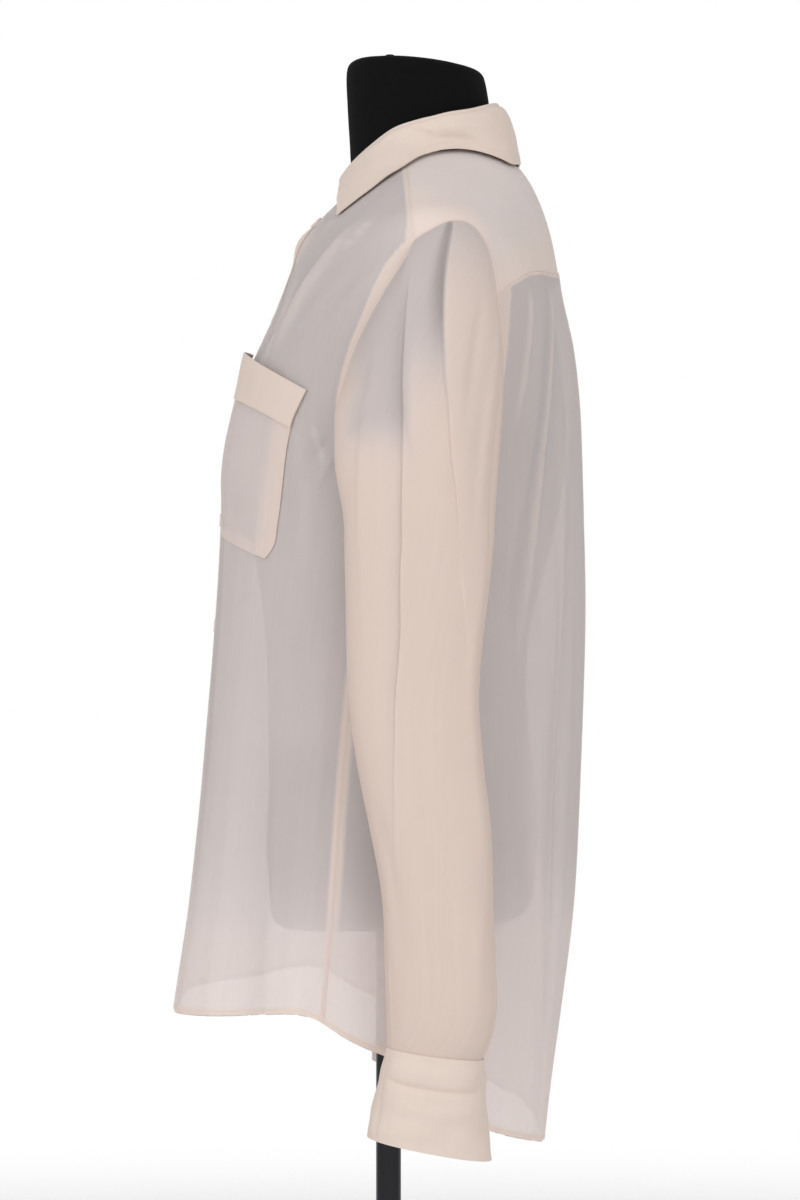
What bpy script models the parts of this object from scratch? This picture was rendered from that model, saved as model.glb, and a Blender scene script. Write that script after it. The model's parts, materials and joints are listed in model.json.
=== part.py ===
"""A long-sleeved silk blouse worn by a limbless dress form on a round-based stand.

Metres, +Z up. The chest faces -Y and the wearer's left is +X. The origin is on the floor, under the pole.
Every cloth piece is an open sheet laid on one worn surface, given its wall by a Solidify modifier:
a point of that surface has an angle round the body (0 at the centre front, 90 degrees at the wearer's
left side, 180 at the centre back) and a level (0 at the neckline, 6 under the arm, 7 at the hem).
"""

import math
from bisect import bisect_right
from collections import namedtuple

import bpy
from mathutils import Vector

# ---- driving sizes, in metres ----
WALL = 0.0014  # every cloth wall
SEAM_GAP = 0.0006  # between pieces that are sewn edge to edge
LAY_GAP = 0.0003  # between pieces that lie on each other
UNDERARM_LEVEL = 6.0
HEM_LEVEL = 7.0
UNDERARM_Z = 0.965
PLACKET_WIDTH = 0.030
BUTTON_RADIUS = 0.0053
BUTTON_THICKNESS = 0.0022
BUTTON_SPACING = 0.080  # along the front
FRONT_BUTTONS = 7
FIRST_BUTTON_LEVEL = 0.80
SLEEVE_CAP_Z = 0.900  # where the sleeve's cap has turned fully downwards
UNDERARM_EASE = 0.004  # room between the sleeve and the body under the arm
CUFF_LAP = 28.0  # degrees by which the cuff's ends overlap
POLE_RADIUS = 0.0095
FORM_BOTTOM = 0.620
NECK_TILT = 0.11  # the cap of the neck falls this much for each metre towards the back
BASE_RADIUS = 0.150
BASE_EDGE = 0.010

Section = namedtuple("Section", "half_width front back middle z_front z_side z_back roundness")
Shoulder = namedtuple("Shoulder", "level " + " ".join(Section._fields))
Trunk = namedtuple("Trunk", "z half_width front back middle roundness")
Hem = namedtuple("Hem", "angle z")
Edge = namedtuple("Edge", "angle level")
Step = namedtuple("Step", "index angle level")
Fold = namedtuple(
    "Fold", "top_z bottom_z top_angle middle_angle bottom_angle width top_height height bottom_height"
)
Leaf = namedtuple("Leaf", "angle edge_level lift")
Pocket = namedtuple("Pocket", "share inner_angle outer_angle inner_z outer_z inner_lift outer_lift")
Sleeve = namedtuple("Sleeve", "z front back inner outer tilt")
Tuck = namedtuple("Tuck", "turn bottom_turn width top_share bottom_share height step")

# The worn surface from the neckline to the underarm, one ring for each level; level 7 only sets the slope.
SHOULDER = [
    Shoulder(0, 0.0640, -0.0345, 0.0830, 0.022, 1.158, 1.192, 1.204, 1.95),
    Shoulder(1, 0.1000, -0.0570, 0.1070, 0.026, 1.1395, 1.174, 1.176, 1.80),
    Shoulder(2, 0.1500, -0.0705, 0.1225, 0.030, 1.114, 1.152, 1.137, 1.85),
    Shoulder(3, 0.1900, -0.0825, 0.1320, 0.032, 1.083, 1.130, 1.084, 1.95),
    Shoulder(4, 0.1960, -0.0985, 0.1395, 0.030, 1.050, 1.088, 1.052, 2.05),
    Shoulder(5, 0.1860, -0.1150, 0.1440, 0.024, 1.010, 1.030, 1.012, 2.10),
    Shoulder(6, 0.1750, -0.1250, 0.1465, 0.016, 0.965, 0.965, 0.965, 2.18),
    Shoulder(7, 0.1718, -0.1280, 0.1480, 0.014, 0.920, 0.920, 0.920, 2.22),
]
# The worn surface below the underarm; its highest row only sets the slope there.
TRUNK = [
    Trunk(0.440, 0.1900, -0.1715, 0.1170, -0.002, 2.20),
    Trunk(0.500, 0.1900, -0.1680, 0.1240, -0.001, 2.25),
    Trunk(0.553, 0.1885, -0.1640, 0.1310, 0.000, 2.30),
    Trunk(0.633, 0.1835, -0.1520, 0.1408, 0.001, 2.30),
    Trunk(0.710, 0.1785, -0.1440, 0.1452, 0.003, 2.30),
    Trunk(0.790, 0.1735, -0.1370, 0.1480, 0.007, 2.30),
    Trunk(0.860, 0.1712, -0.1317, 0.1488, 0.011, 2.28),
    Trunk(0.920, 0.1718, -0.1280, 0.1480, 0.014, 2.22),
    Trunk(0.965, 0.1750, -0.1250, 0.1465, 0.016, 2.18),
    Trunk(1.010, 0.1860, -0.1150, 0.1440, 0.024, 2.10),
]
HEM = [
    Hem(0, 0.553), Hem(35, 0.556), Hem(60, 0.562), Hem(73, 0.562), Hem(82, 0.547), Hem(92, 0.531),
    Hem(106, 0.505), Hem(122, 0.481), Hem(150, 0.463), Hem(180, 0.450),
]
SIDE_SEAM = [Hem(76.8, 0.545), Hem(77.6, 0.620), Hem(79.5, 0.780), Hem(82.0, 0.880), Hem(86.0, 0.965)]
# The armhole, from the underarm up each side, and the yoke's seams that end on it.
ARMHOLE_FRONT = [
    Edge(86.0, 6.00), Edge(78.5, 5.93), Edge(73.5, 5.77), Edge(70.4, 5.50), Edge(70.6, 5.20),
    Edge(73.4, 4.75), Edge(77.2, 4.20), Edge(80.8, 3.70), Edge(83.8, 3.30),
]
ARMHOLE_TOP = [
    Edge(83.8, 3.30), Edge(90.5, 3.07), Edge(98.0, 3.00), Edge(105.0, 3.15), Edge(109.3, 3.55),
    Edge(112.0, 4.00),
]
ARMHOLE_BACK = [
    Edge(112.0, 4.00), Edge(113.6, 4.60), Edge(113.8, 5.15), Edge(111.0, 5.60), Edge(104.5, 5.87),
    Edge(95.5, 5.97), Edge(86.0, 6.00),
]
YOKE_FRONT = [Edge(80.0, 0.0), Edge(83.8, 3.30)]
YOKE_BACK_Z = [Hem(112.0, 1.0810), Hem(135.0, 1.0905), Hem(158.0, 1.1010), Hem(180.0, 1.1045)]

# Ridges (and troughs, with a height below 0) that run down the worn surface.
FOLDS = [
    Fold(1.105, 0.450, 167, 135, 146, 6.5, 0.0015, 0.0060, 0.0055),  # from the yoke to the back hem
    Fold(1.095, 0.860, 142, 131, 119, 4.5, 0.0010, 0.0040, 0.0000),  # shoulder blade
    Fold(0.960, 0.470, 116, 113, 112, 8.0, 0.0000, -0.0035, -0.0055),  # hollow behind the sleeve
    Fold(1.140, 1.040, 50, 33, 22, 6.0, 0.0010, 0.0030, 0.0010),  # neck to bust
    Fold(1.060, 0.553, 0, 0, 0, 9.0, 0.0000, -0.0030, -0.0035),  # the placket sits back between the fronts
    Fold(0.880, 0.553, 30, 29, 28, 10.0, 0.0000, 0.0030, 0.0065),
    Fold(0.860, 0.553, 49, 50, 52, 8.0, 0.0000, -0.0035, -0.0060),
    Fold(0.840, 0.500, 66, 67, 69, 7.0, 0.0000, 0.0025, 0.0050),
    Fold(1.010, 0.880, 66, 60, 52, 5.0, 0.0000, -0.0040, 0.0000),  # drag from the underarm to the bust
]

# The collar: a stand up to the fold, and a leaf that turns down from it.
FOLD_LINE = Section(0.0625, -0.0345, 0.0825, 0.030, 1.1795, 1.2195, 1.2365, 2.0)
LEAF = [
    Leaf(32, 1.10, 0.0020), Leaf(47, 1.12, 0.0040), Leaf(70, 0.90, 0.0085), Leaf(95, 0.70, 0.0125),
    Leaf(125, 0.62, 0.0120), Leaf(155, 0.60, 0.0080), Leaf(180, 0.60, 0.0060),
]
LEAF_TOP_ANGLE = 9.0  # where the leaf starts, beside the centre front

POCKET = [
    Pocket(0.00, 13.0, 54.0, 1.0440, 1.0110, 0.0075, 0.0002),
    Pocket(0.22, 13.0, 52.8, 1.0120, 0.9860, 0.0030, 0.0010),
    Pocket(0.50, 13.0, 51.6, 0.9700, 0.9500, 0.0042, 0.0016),
    Pocket(0.66, 13.0, 51.0, 0.9460, 0.9290, 0.0034, 0.0014),
    Pocket(0.80, 13.0, 50.6, 0.9290, 0.9120, 0.0010, 0.0008),
    Pocket(0.90, 13.2, 50.2, 0.9170, 0.8990, 0.0004, 0.0004),
    Pocket(1.00, 16.0, 47.0, 0.9080, 0.8890, 0.0002, 0.0002),
]
POCKET_BAND_SHARE = 0.24

# The left sleeve's rings below its cap, highest first: where its four sides are, and how its back rises.
SLEEVE = [
    Sleeve(0.900, -0.0330, 0.0745, 0.1790, 0.2500, 0.00),
    Sleeve(0.860, -0.0290, 0.0705, 0.1800, 0.2500, 0.00),
    Sleeve(0.825, -0.0286, 0.0662, 0.1815, 0.2490, 0.00),
    Sleeve(0.789, -0.0272, 0.0636, 0.1830, 0.2490, 0.00),
    Sleeve(0.746, -0.0209, 0.0664, 0.1850, 0.2500, 0.00),
    Sleeve(0.697, -0.0117, 0.0720, 0.1885, 0.2525, 0.00),
    Sleeve(0.648, -0.0033, 0.0741, 0.1915, 0.2545, 0.00),
    Sleeve(0.605, -0.0010, 0.0750, 0.1935, 0.2560, 0.00),
    Sleeve(0.575, -0.0004, 0.0752, 0.1945, 0.2560, -0.06),
    Sleeve(0.555, 0.0000, 0.0715, 0.1955, 0.2545, -0.10),
    Sleeve(0.5400, 0.0003, 0.0655, 0.1965, 0.2515, -0.14),
]
CUFF = [
    Sleeve(0.5390, -0.0010, 0.0655, 0.1960, 0.2520, -0.14),
    Sleeve(0.5150, -0.0050, 0.0668, 0.1950, 0.2530, -0.15),
    Sleeve(0.4950, -0.0095, 0.0682, 0.1940, 0.2540, -0.18),
    Sleeve(0.4750, -0.0125, 0.0700, 0.1935, 0.2545, -0.20),
]
# Creases down a sleeve: its turn is a share of the way round, from the inner side over the front (0.25),
# the outer side (0.5) and the back (0.75).
SLEEVE_TURNS = [
    0.00, 0.05, 0.10, 0.145, 0.19, 0.23, 0.27, 0.31, 0.35, 0.385, 0.42, 0.45, 0.48, 0.51, 0.53, 0.55, 0.57,
    0.595, 0.63, 0.67, 0.71, 0.76, 0.81, 0.87, 0.935,
]
TUCKS = [
    Tuck(0.555, 0.570, 0.036, 0.00, 0.62, 0.0085, 0.5),  # tuck at the head of the sleeve
    Tuck(0.425, 0.435, 0.040, 0.06, 0.80, 0.0045, 0.3),
    Tuck(0.660, 0.650, 0.034, 0.25, 0.98, 0.0035, 0.0),
    Tuck(0.350, 0.400, 0.030, 0.55, 1.00, -0.0035, 0.0),
    Tuck(0.520, 0.515, 0.030, 0.62, 1.00, -0.0040, 0.0),
    Tuck(0.590, 0.600, 0.028, 0.70, 1.00, 0.0030, 0.0),
    Tuck(0.930, 0.930, 0.060, 0.20, 0.95, -0.0060, 0.0),
]

# The dress form, from the cap of its neck down to its flat bottom.
FORM = [
    Section(0.0420, -0.0160, 0.0600, 0.020, 1.2660, 1.2660, 1.2660, 2.0),
    Section(0.0500, -0.0265, 0.0715, 0.020, 1.2632, 1.2632, 1.2632, 2.1),
    Section(0.0525, -0.0318, 0.0758, 0.020, 1.2550, 1.2550, 1.2550, 2.1),
    Section(0.0525, -0.0310, 0.0770, 0.022, 1.2300, 1.2300, 1.2300, 2.1),
    Section(0.0540, -0.0290, 0.0778, 0.023, 1.1950, 1.2050, 1.2120, 2.0),
    Section(0.0580, -0.0285, 0.0780, 0.023, 1.1590, 1.1870, 1.2010, 1.95),
    Section(0.0920, -0.0485, 0.0965, 0.026, 1.1365, 1.1695, 1.1735, 1.80),
    Section(0.1400, -0.0650, 0.1130, 0.030, 1.1100, 1.1475, 1.1320, 1.85),
    Section(0.1770, -0.0770, 0.1230, 0.032, 1.0790, 1.1215, 1.0800, 1.95),
    Section(0.1800, -0.0900, 0.1285, 0.030, 1.0480, 1.0840, 1.0480, 2.1),
    Section(0.1680, -0.1030, 0.1330, 0.024, 1.0080, 1.0280, 1.0080, 2.15),
    Section(0.1580, -0.1110, 0.1340, 0.018, 0.9700, 0.9700, 0.9700, 2.2),
    Section(0.1500, -0.1090, 0.1300, 0.014, 0.9300, 0.9300, 0.9300, 2.15),
    Section(0.1370, -0.1000, 0.1190, 0.012, 0.8850, 0.8850, 0.8850, 2.1),
    Section(0.1270, -0.0943, 0.1080, 0.012, 0.8400, 0.8400, 0.8400, 2.1),
    Section(0.1250, -0.0920, 0.1040, 0.012, 0.8050, 0.8050, 0.8050, 2.1),
    Section(0.1330, -0.0912, 0.1060, 0.011, 0.7600, 0.7600, 0.7600, 2.1),
    Section(0.1480, -0.0908, 0.1110, 0.010, 0.7150, 0.7150, 0.7150, 2.15),
    Section(0.1580, -0.0925, 0.1130, 0.010, 0.6750, 0.6750, 0.6750, 2.2),
    Section(0.1600, -0.0905, 0.1110, 0.009, 0.6450, 0.6450, 0.6450, 2.2),
    Section(0.1560, -0.0865, 0.1060, 0.009, 0.6280, 0.6280, 0.6280, 2.2),
    Section(0.1460, -0.0770, 0.0960, 0.009, 0.6200, 0.6200, 0.6200, 2.2),
]


# ---- curves through the tables ----
def smooth_table(rows, key):
    """Gives every column of a table as a smooth curve of its key column."""
    rows = sorted(rows, key=lambda row: getattr(row, key))
    keys = [getattr(row, key) for row in rows]
    last = len(keys) - 1

    def slope(column, i):
        low, high = max(i - 1, 0), min(i + 1, last)
        return (column[high] - column[low]) / (keys[high] - keys[low])

    def at(value):
        value = min(max(value, keys[0]), keys[-1])
        i = min(bisect_right(keys, value) - 1, last - 1)
        step = keys[i + 1] - keys[i]
        f = (value - keys[i]) / step
        result = []
        for column in zip(*rows):
            starts, ends = slope(column, i) * step, slope(column, i + 1) * step
            result.append(hermite(column[i], column[i + 1], starts, ends, f))
        return type(rows[0])(*result)

    return at


def hermite(a, b, slope_a, slope_b, f):
    f2, f3 = f * f, f * f * f
    rise = 3 * f2 - 2 * f3
    return (1 - rise) * a + (f3 - 2 * f2 + f) * slope_a + rise * b + (f3 - f2) * slope_b


def smoothstep(low, high, value):
    f = min(max((value - low) / (high - low), 0.0), 1.0)
    return f * f * (3 - 2 * f)


def lerp(a, b, f):
    return a + (b - a) * f


def bend(a, middle, b, f):
    """A smooth curve through three values, at 0, a half and 1."""
    return 2 * (1 - f) * (0.5 - f) * a + 4 * f * (1 - f) * middle + 2 * f * (f - 0.5) * b


def signed_power(value, exponent):
    return math.copysign(abs(value) ** exponent, value)


shoulder_at = smooth_table(SHOULDER, "level")
trunk_at = smooth_table(TRUNK, "z")
hem_at = smooth_table(HEM, "angle")
side_seam_at = smooth_table(SIDE_SEAM, "z")
yoke_back_at = smooth_table(YOKE_BACK_Z, "angle")
leaf_at = smooth_table(LEAF, "angle")
pocket_at = smooth_table(POCKET, "share")
sleeve_at = smooth_table(SLEEVE, "z")
cuff_at = smooth_table(CUFF, "z")


# ---- the worn surface ----
def ring_point(section, angle):
    """A point of one ring, at an angle in degrees from the centre front towards the wearer's left."""
    s, c = math.sin(math.radians(angle)), math.cos(math.radians(angle))
    power = 2 / section.roundness
    reach = section.middle - section.front if c > 0 else section.back - section.middle
    z_end = section.z_front if c > 0 else section.z_back
    return Vector((
        section.half_width * signed_power(s, power),
        section.middle - reach * signed_power(c, power),
        section.z_side + (z_end - section.z_side) * c * c,
    ))


def smooth_point(angle, level):
    """The worn surface without its folds."""
    if level <= UNDERARM_LEVEL:
        return ring_point(Section(*shoulder_at(level)[1:]), angle)
    z = lerp(UNDERARM_Z, hem_at(abs(angle)).z, (level - UNDERARM_LEVEL) / (HEM_LEVEL - UNDERARM_LEVEL))
    row = trunk_at(z)
    flat = Section(row.half_width, row.front, row.back, row.middle, z, z, z, row.roundness)
    return ring_point(flat, angle)


def smooth_normal(angle, level):
    step = 0.02
    across = smooth_point(angle + 0.5, level) - smooth_point(angle - 0.5, level)
    down = smooth_point(angle, min(level + step, HEM_LEVEL)) - smooth_point(angle, max(level - step, 0.0))
    return down.cross(across).normalized()


def fold_height(angle, z):
    """How far the folds lift the cloth at this place, the same on both halves."""
    total = 0.0
    for fold in FOLDS:
        down = (fold.top_z - z) / (fold.top_z - fold.bottom_z)
        if down < 0 or (down > 1 and fold.bottom_height == 0):
            continue
        down = min(down, 1.0)
        path = bend(fold.top_angle, fold.middle_angle, fold.bottom_angle, down)
        if down < 0.5:
            height = lerp(fold.top_height, fold.height, smoothstep(0, 0.5, down))
        else:
            height = lerp(fold.height, fold.bottom_height, smoothstep(0.5, 1, down))
        total += height * math.exp(-(((abs(angle) - path) / fold.width) ** 2))
    return total


def worn(angle, level, lift=0.0):
    """A point of the blouse's outer face, moved out by lift."""
    point = smooth_point(angle, level)
    return point + smooth_normal(angle, level) * (fold_height(angle, point.z) + lift)


def level_at(angle, z):
    """The level at which the worn surface passes height z at this angle."""
    low, high = 0.0, HEM_LEVEL
    for _ in range(40):
        middle = (low + high) / 2
        if smooth_point(angle, middle).z > z:
            low = middle
        else:
            high = middle
    return (low + high) / 2


def angle_at(x, level):
    """The angle of the worn surface at this distance beside the centre front."""
    point_x = abs(x)
    low, high = 0.0, 80.0
    for _ in range(40):
        middle = (low + high) / 2
        if smooth_point(middle, level).x < point_x:
            low = middle
        else:
            high = middle
    return math.copysign((low + high) / 2, x)


# ---- building sheets ----
def add_object(name, points, faces, material, smooth=True):
    mesh = bpy.data.meshes.new(name)
    mesh.from_pydata(points, [], faces)
    mesh.validate()
    mesh.update()
    if smooth:
        mesh.shade_smooth()
        mesh.set_sharp_from_angle(angle=math.radians(40))
    mesh.materials.append(material)
    obj = bpy.data.objects.new(name, mesh)
    COLLECTION.objects.link(obj)
    return obj


def add_sheet(name, rows, material, closed=False, turned=False, mirror=False):
    """Cloth through rows of points. Its faces point out if each row runs towards the wearer's left, seen
    from the front, and the rows run down; turned is for the mirror image of such a sheet."""
    width = len(rows[0])
    points = [p for row in rows for p in row]
    faces = []
    for j in range(len(rows) - 1):
        for i in range(width if closed else width - 1):
            a, b = j * width + i, j * width + (i + 1) % width
            quad = (a, a + width, b + width, b)
            faces.append(quad[::-1] if turned else quad)
    obj = add_object(name, points, faces, material)
    if mirror:
        half = obj.modifiers.new("other_half", "MIRROR")
        half.use_clip = True
        half.merge_threshold = 0.0001
    wall = obj.modifiers.new("wall", "SOLIDIFY")
    wall.thickness = WALL
    wall.offset = -1
    wall.use_even_offset = True
    wall.thickness_clamp = 1.0
    return obj


def mirrored(point):
    return Vector((-point.x, point.y, point.z))


def add_pair(name, rows, material, closed=False):
    """The same sheet on the wearer's left and right."""
    add_sheet(name + "_left", rows, material, closed)
    add_sheet(name + "_right", [[mirrored(p) for p in row] for row in rows], material, closed, turned=True)


def along(edges, shares):
    """Edges at these shares of the way along a line of edges on the worn surface."""
    fine = []
    curve = smooth_table([Step(i, *edge) for i, edge in enumerate(edges)], "index")
    pieces = 12 * (len(edges) - 1)
    for i in range(pieces + 1):
        row = curve(i * (len(edges) - 1) / pieces)
        fine.append(Edge(row.angle, row.level))
    spots = [on_worn(edge) for edge in fine]
    reach = [0.0]
    for a, b in zip(spots, spots[1:]):
        reach.append(reach[-1] + (b - a).length)
    result = []
    for share in shares:
        wanted = reach[-1] * share
        i = min(max(bisect_right(reach, wanted) - 1, 0), len(fine) - 2)
        f = (wanted - reach[i]) / (reach[i + 1] - reach[i])
        a, b = fine[i], fine[i + 1]
        result.append(Edge(lerp(a.angle, b.angle, f), lerp(a.level, b.level, f)))
    return result


def on_worn(edge):
    return worn(edge.angle, edge.level)


def even(count):
    return [k / count for k in range(count + 1)]


def inset_angle(angle, level, distance):
    """The angle moved along the ring by a distance on the cloth."""
    ahead = (smooth_point(angle + 1, level) - smooth_point(angle, level)).length
    return angle + distance / ahead


# ---- the blouse's panels ----
def side_seam_rows(count):
    """Edges down the side seam, from the underarm to the hem, without the first."""
    rows = []
    for k in range(1, count + 1):
        level = lerp(UNDERARM_LEVEL, HEM_LEVEL, k / count)
        z = smooth_point(side_seam_at(0.75).angle, level).z
        rows.append(Edge(side_seam_at(z).angle, level))
    return rows


def front_outer_edge():
    """Down the front's outer edge: the yoke seam, the armhole and the side seam."""
    yoke = along(YOKE_FRONT, even(5))
    armhole = along(ARMHOLE_FRONT[::-1], even(9))
    return yoke[:-1] + armhole + side_seam_rows(11)


def build_fronts(material):
    columns = 10
    rows = []
    for edge in front_outer_edge():
        start = angle_at(SEAM_GAP / 2, edge.level)
        end = inset_angle(edge.angle, edge.level, -SEAM_GAP / 2)
        rows.append([worn(lerp(start, end, i / columns), edge.level) for i in range(columns + 1)])
    add_pair("front", rows, material)


def yoke_back_edge(count):
    """The yoke's back seam, from the armhole to the centre back."""
    angles = [lerp(ARMHOLE_TOP[-1].angle, 180.0, k / count) for k in range(count + 1)]
    return [Edge(a, level_at(a, yoke_back_at(a).z)) for a in angles]


def build_back(material):
    """The back's columns run from the side to the centre back; the other half is its mirror image."""
    columns = 13
    gap = 0.008  # in levels, half of a seam gap
    outer = along(ARMHOLE_BACK, even(7))[1:] + side_seam_rows(11)
    rows = [[worn(e.angle, e.level + gap) for e in yoke_back_edge(columns)]]
    for edge in outer:
        start = inset_angle(edge.angle, edge.level, SEAM_GAP / 2)
        top = rows[0]
        row = []
        for i in range(len(top)):
            angle = lerp(start, 180.0, i / columns)
            seam = level_at(angle, yoke_back_at(max(angle, ARMHOLE_TOP[-1].angle)).z) + gap
            # rows near the yoke follow its seam, and those below the armhole are level
            blend = min((edge.level - ARMHOLE_BACK[0].level) / (UNDERARM_LEVEL - ARMHOLE_BACK[0].level), 1.0)
            level = lerp(seam + (edge.level - ARMHOLE_BACK[0].level) * (1 - i / columns), edge.level, blend)
            level = max(level, lerp(seam, edge.level, blend))
            row.append(worn(angle, level if i else edge.level))
        rows.append(row)
    for row in rows:
        row[-1].x = 0.0
    add_sheet("back", rows, material, mirror=True)


def build_yoke(material):
    """One piece over both shoulders, from seam to seam; its columns run out from the neck."""
    gap = 0.010
    top = along(ARMHOLE_TOP, even(7))
    outer = top + yoke_back_edge(8)[1:]
    depth = 5
    rows = []
    for j in range(depth + 1):
        row = []
        for k, edge in enumerate(outer):
            neck_angle = lerp(YOKE_FRONT[0].angle, 180.0, k / (len(outer) - 1))
            f = j / depth
            level = f * (edge.level - gap)
            angle = lerp(neck_angle, edge.angle, f)
            if k == 0:
                angle = inset_angle(angle, level, SEAM_GAP / 2)
            row.append(worn(angle, level))
        row[-1].x = 0.0
        rows.append(row)
    add_sheet("yoke", rows, material, mirror=True)


def build_placket(material):
    """The button band, laid over the edges of both fronts."""
    half = PLACKET_WIDTH / 2
    columns = 4
    rows = []
    for edge in front_outer_edge():
        row = []
        for i in range(columns + 1):
            x = lerp(-half, half, i / columns)
            row.append(worn(angle_at(x, edge.level), edge.level, LAY_GAP + WALL))
        rows.append(row)
    add_sheet("placket", rows, material)


# ---- collar ----
def build_collar(material):
    """The stand rises from the neckline to the fold, and the leaf turns down from the fold."""
    steps = 13
    stand = []
    for j in range(3):
        row = []
        for k in range(steps + 1):
            angle = lerp(0.0, 180.0, k / steps)
            foot, fold = worn(angle, 0.0) + Vector((0, 0, SEAM_GAP)), ring_point(FOLD_LINE, angle)
            row.append(fold.lerp(foot, j / 2))
        row[0].x = row[-1].x = 0.0
        stand.append(row)
    add_sheet("collar_stand", stand, material, mirror=True)

    leaf = []
    depth = 5
    for j in range(depth + 1):
        f = j / depth
        row = []
        for k in range(steps + 1):
            share = k / steps
            fold_angle = lerp(LEAF_TOP_ANGLE, 180.0, share)
            edge_row = leaf_at(lerp(LEAF[0].angle, 180.0, share))
            fold = ring_point(FOLD_LINE, fold_angle)
            out = Vector((fold.x, fold.y - FOLD_LINE.middle, 0)).normalized()
            start = fold + out * (LAY_GAP + WALL)
            shoulder = start + out * lerp(0.0035, 0.0095, share)
            end = worn(edge_row.angle, edge_row.edge_level, edge_row.lift)
            row.append(start.lerp(shoulder, f).lerp(shoulder.lerp(end, f), f))
        row[-1].x = 0.0
        leaf.append(row)
    add_sheet("collar_leaf", leaf, material, mirror=True)


# ---- pocket ----
def pocket_point(share, across, lift):
    row = pocket_at(share)
    angle = lerp(row.inner_angle, row.outer_angle, across)
    z = lerp(row.inner_z, row.outer_z, across)
    gape = lerp(row.inner_lift, row.outer_lift, across)
    return worn(angle, level_at(angle, z), gape + lift)


def build_pocket(material, band_material):
    columns = 7
    shares = [k / 11 for k in range(12)]
    bag = [[pocket_point(s, i / columns, LAY_GAP + WALL) for i in range(columns + 1)] for s in shares]
    add_sheet("pocket", bag, material)
    over = 2 * (LAY_GAP + WALL)
    band = []
    for k in range(4):
        share = POCKET_BAND_SHARE * k / 3
        band.append([pocket_point(share, i / columns, over) for i in range(columns + 1)])
    add_sheet("pocket_band", band, band_material)


# ---- sleeves ----
def superellipse(row, turn, roundness=2.35):
    """A point of a sleeve ring: the turn runs from the inner side over the front, outer side and back."""
    angle = 2 * math.pi * turn
    power = 2 / roundness
    x = (row.inner + row.outer) / 2 - (row.outer - row.inner) / 2 * signed_power(math.cos(angle), power)
    y = (row.front + row.back) / 2 - (row.back - row.front) / 2 * signed_power(math.sin(angle), power)
    return Vector((x, y, row.z + row.tilt * (y - (row.front + row.back) / 2)))


def sleeve_point(turn, z):
    return superellipse(sleeve_at(z), turn)


def armhole_loop(turns):
    """Points round the armhole, from the underarm up the front, over the top and down the back."""
    loop = ARMHOLE_FRONT + ARMHOLE_TOP[1:] + ARMHOLE_BACK[1:]
    return [on_worn(edge) for edge in along(loop, turns)]


def tuck_height(turn, share):
    """Creases down the sleeve, share being the way down from the shoulder to the cuff."""
    total = 0.0
    for tuck in TUCKS:
        if not tuck.top_share <= share <= tuck.bottom_share:
            continue
        f = (share - tuck.top_share) / (tuck.bottom_share - tuck.top_share)
        fade_in = 1.0 if tuck.top_share == 0 else smoothstep(0, 0.25, f)
        fade_out = 1.0 if tuck.bottom_share == 1 else 1 - smoothstep(0.35, 1, f)
        away = (turn - lerp(tuck.turn, tuck.bottom_turn, f)) / tuck.width
        shape = math.exp(-away * away) * (1 + tuck.step * math.tanh(3 * away))
        total += tuck.height * fade_in * fade_out * shape
    return total


def sleeve_rings(turns, cap_rings, lower_rings):
    """Rings of the left sleeve: the cap turns from the armhole to straight down, and the rest hangs."""
    loop = armhole_loop(turns)
    rings = []
    for j in range(cap_rings + 1):
        f = j / cap_rings
        ring = []
        for turn, start in zip(turns, loop):
            end = sleeve_point(turn, SLEEVE_CAP_Z)
            top = (1 - math.cos(2 * math.pi * turn)) / 2  # 0 at the underarm, 1 at the top
            side = -0.30 * math.sin(2 * math.pi * turn)
            leave = Vector((lerp(0.80, 0.93, top), side, lerp(-0.6, -0.36, top))).normalized()
            reach = (end - start).length
            begin = start + leave * SEAM_GAP * lerp(3.4, 1.0, top)
            point = Vector([
                hermite(begin[k], end[k], leave[k] * reach * 0.75, (0, 0, -reach * 0.9)[k], f)
                for k in range(3)
            ])
            point.x += UNDERARM_EASE * (1 - top) * 4 * f * (1 - f)
            ring.append(point)
        rings.append(ring)
    bottom = SLEEVE[-1].z
    for j in range(1, lower_rings + 1):
        z = lerp(SLEEVE_CAP_Z, bottom, j / lower_rings)
        rings.append([sleeve_point(turn, z) for turn in turns])
    return rings


def creased(rings, turns):
    """Moves each ring's points out from its middle by the sleeve's creases."""
    total = len(rings) - 1
    result = []
    for j, ring in enumerate(rings):
        middle = (ring[0] + ring[len(ring) // 2]) / 2
        row = []
        for turn, point in zip(turns, ring):
            out = point - middle
            out.z = 0
            rise = tuck_height(turn, j / total) * smoothstep(0, 0.12, j / total)
            row.append(point + out.normalized() * rise)
        result.append(row)
    return result


def build_sleeves(material):
    rings = creased(sleeve_rings(SLEEVE_TURNS, cap_rings=7, lower_rings=12), SLEEVE_TURNS)
    add_pair("sleeve", [ring[::-1] for ring in rings], material, closed=True)


def cuff_point(share, z, lift=0.0):
    """A point of the cuff, whose one end laps over the other on the inner side."""
    turn = -0.08 + share * (1 + CUFF_LAP / 360)
    row = cuff_at(z)
    point = superellipse(row, turn)
    middle = Vector(((row.inner + row.outer) / 2, (row.front + row.back) / 2, point.z))
    out = (point - middle).normalized()
    lap = (LAY_GAP + WALL) * 1.3 * share * (1 + CUFF_LAP / 360)
    return point + out * (lap + lift), out


def build_cuffs(material):
    columns, depth = 26, 4
    rows = []
    for j in range(depth + 1):
        z = lerp(CUFF[0].z, CUFF[-1].z, j / depth)
        rows.append([cuff_point(i / columns, z)[0] for i in range(columns + 1)])
    add_pair("cuff", [row[::-1] for row in rows], material)


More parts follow.
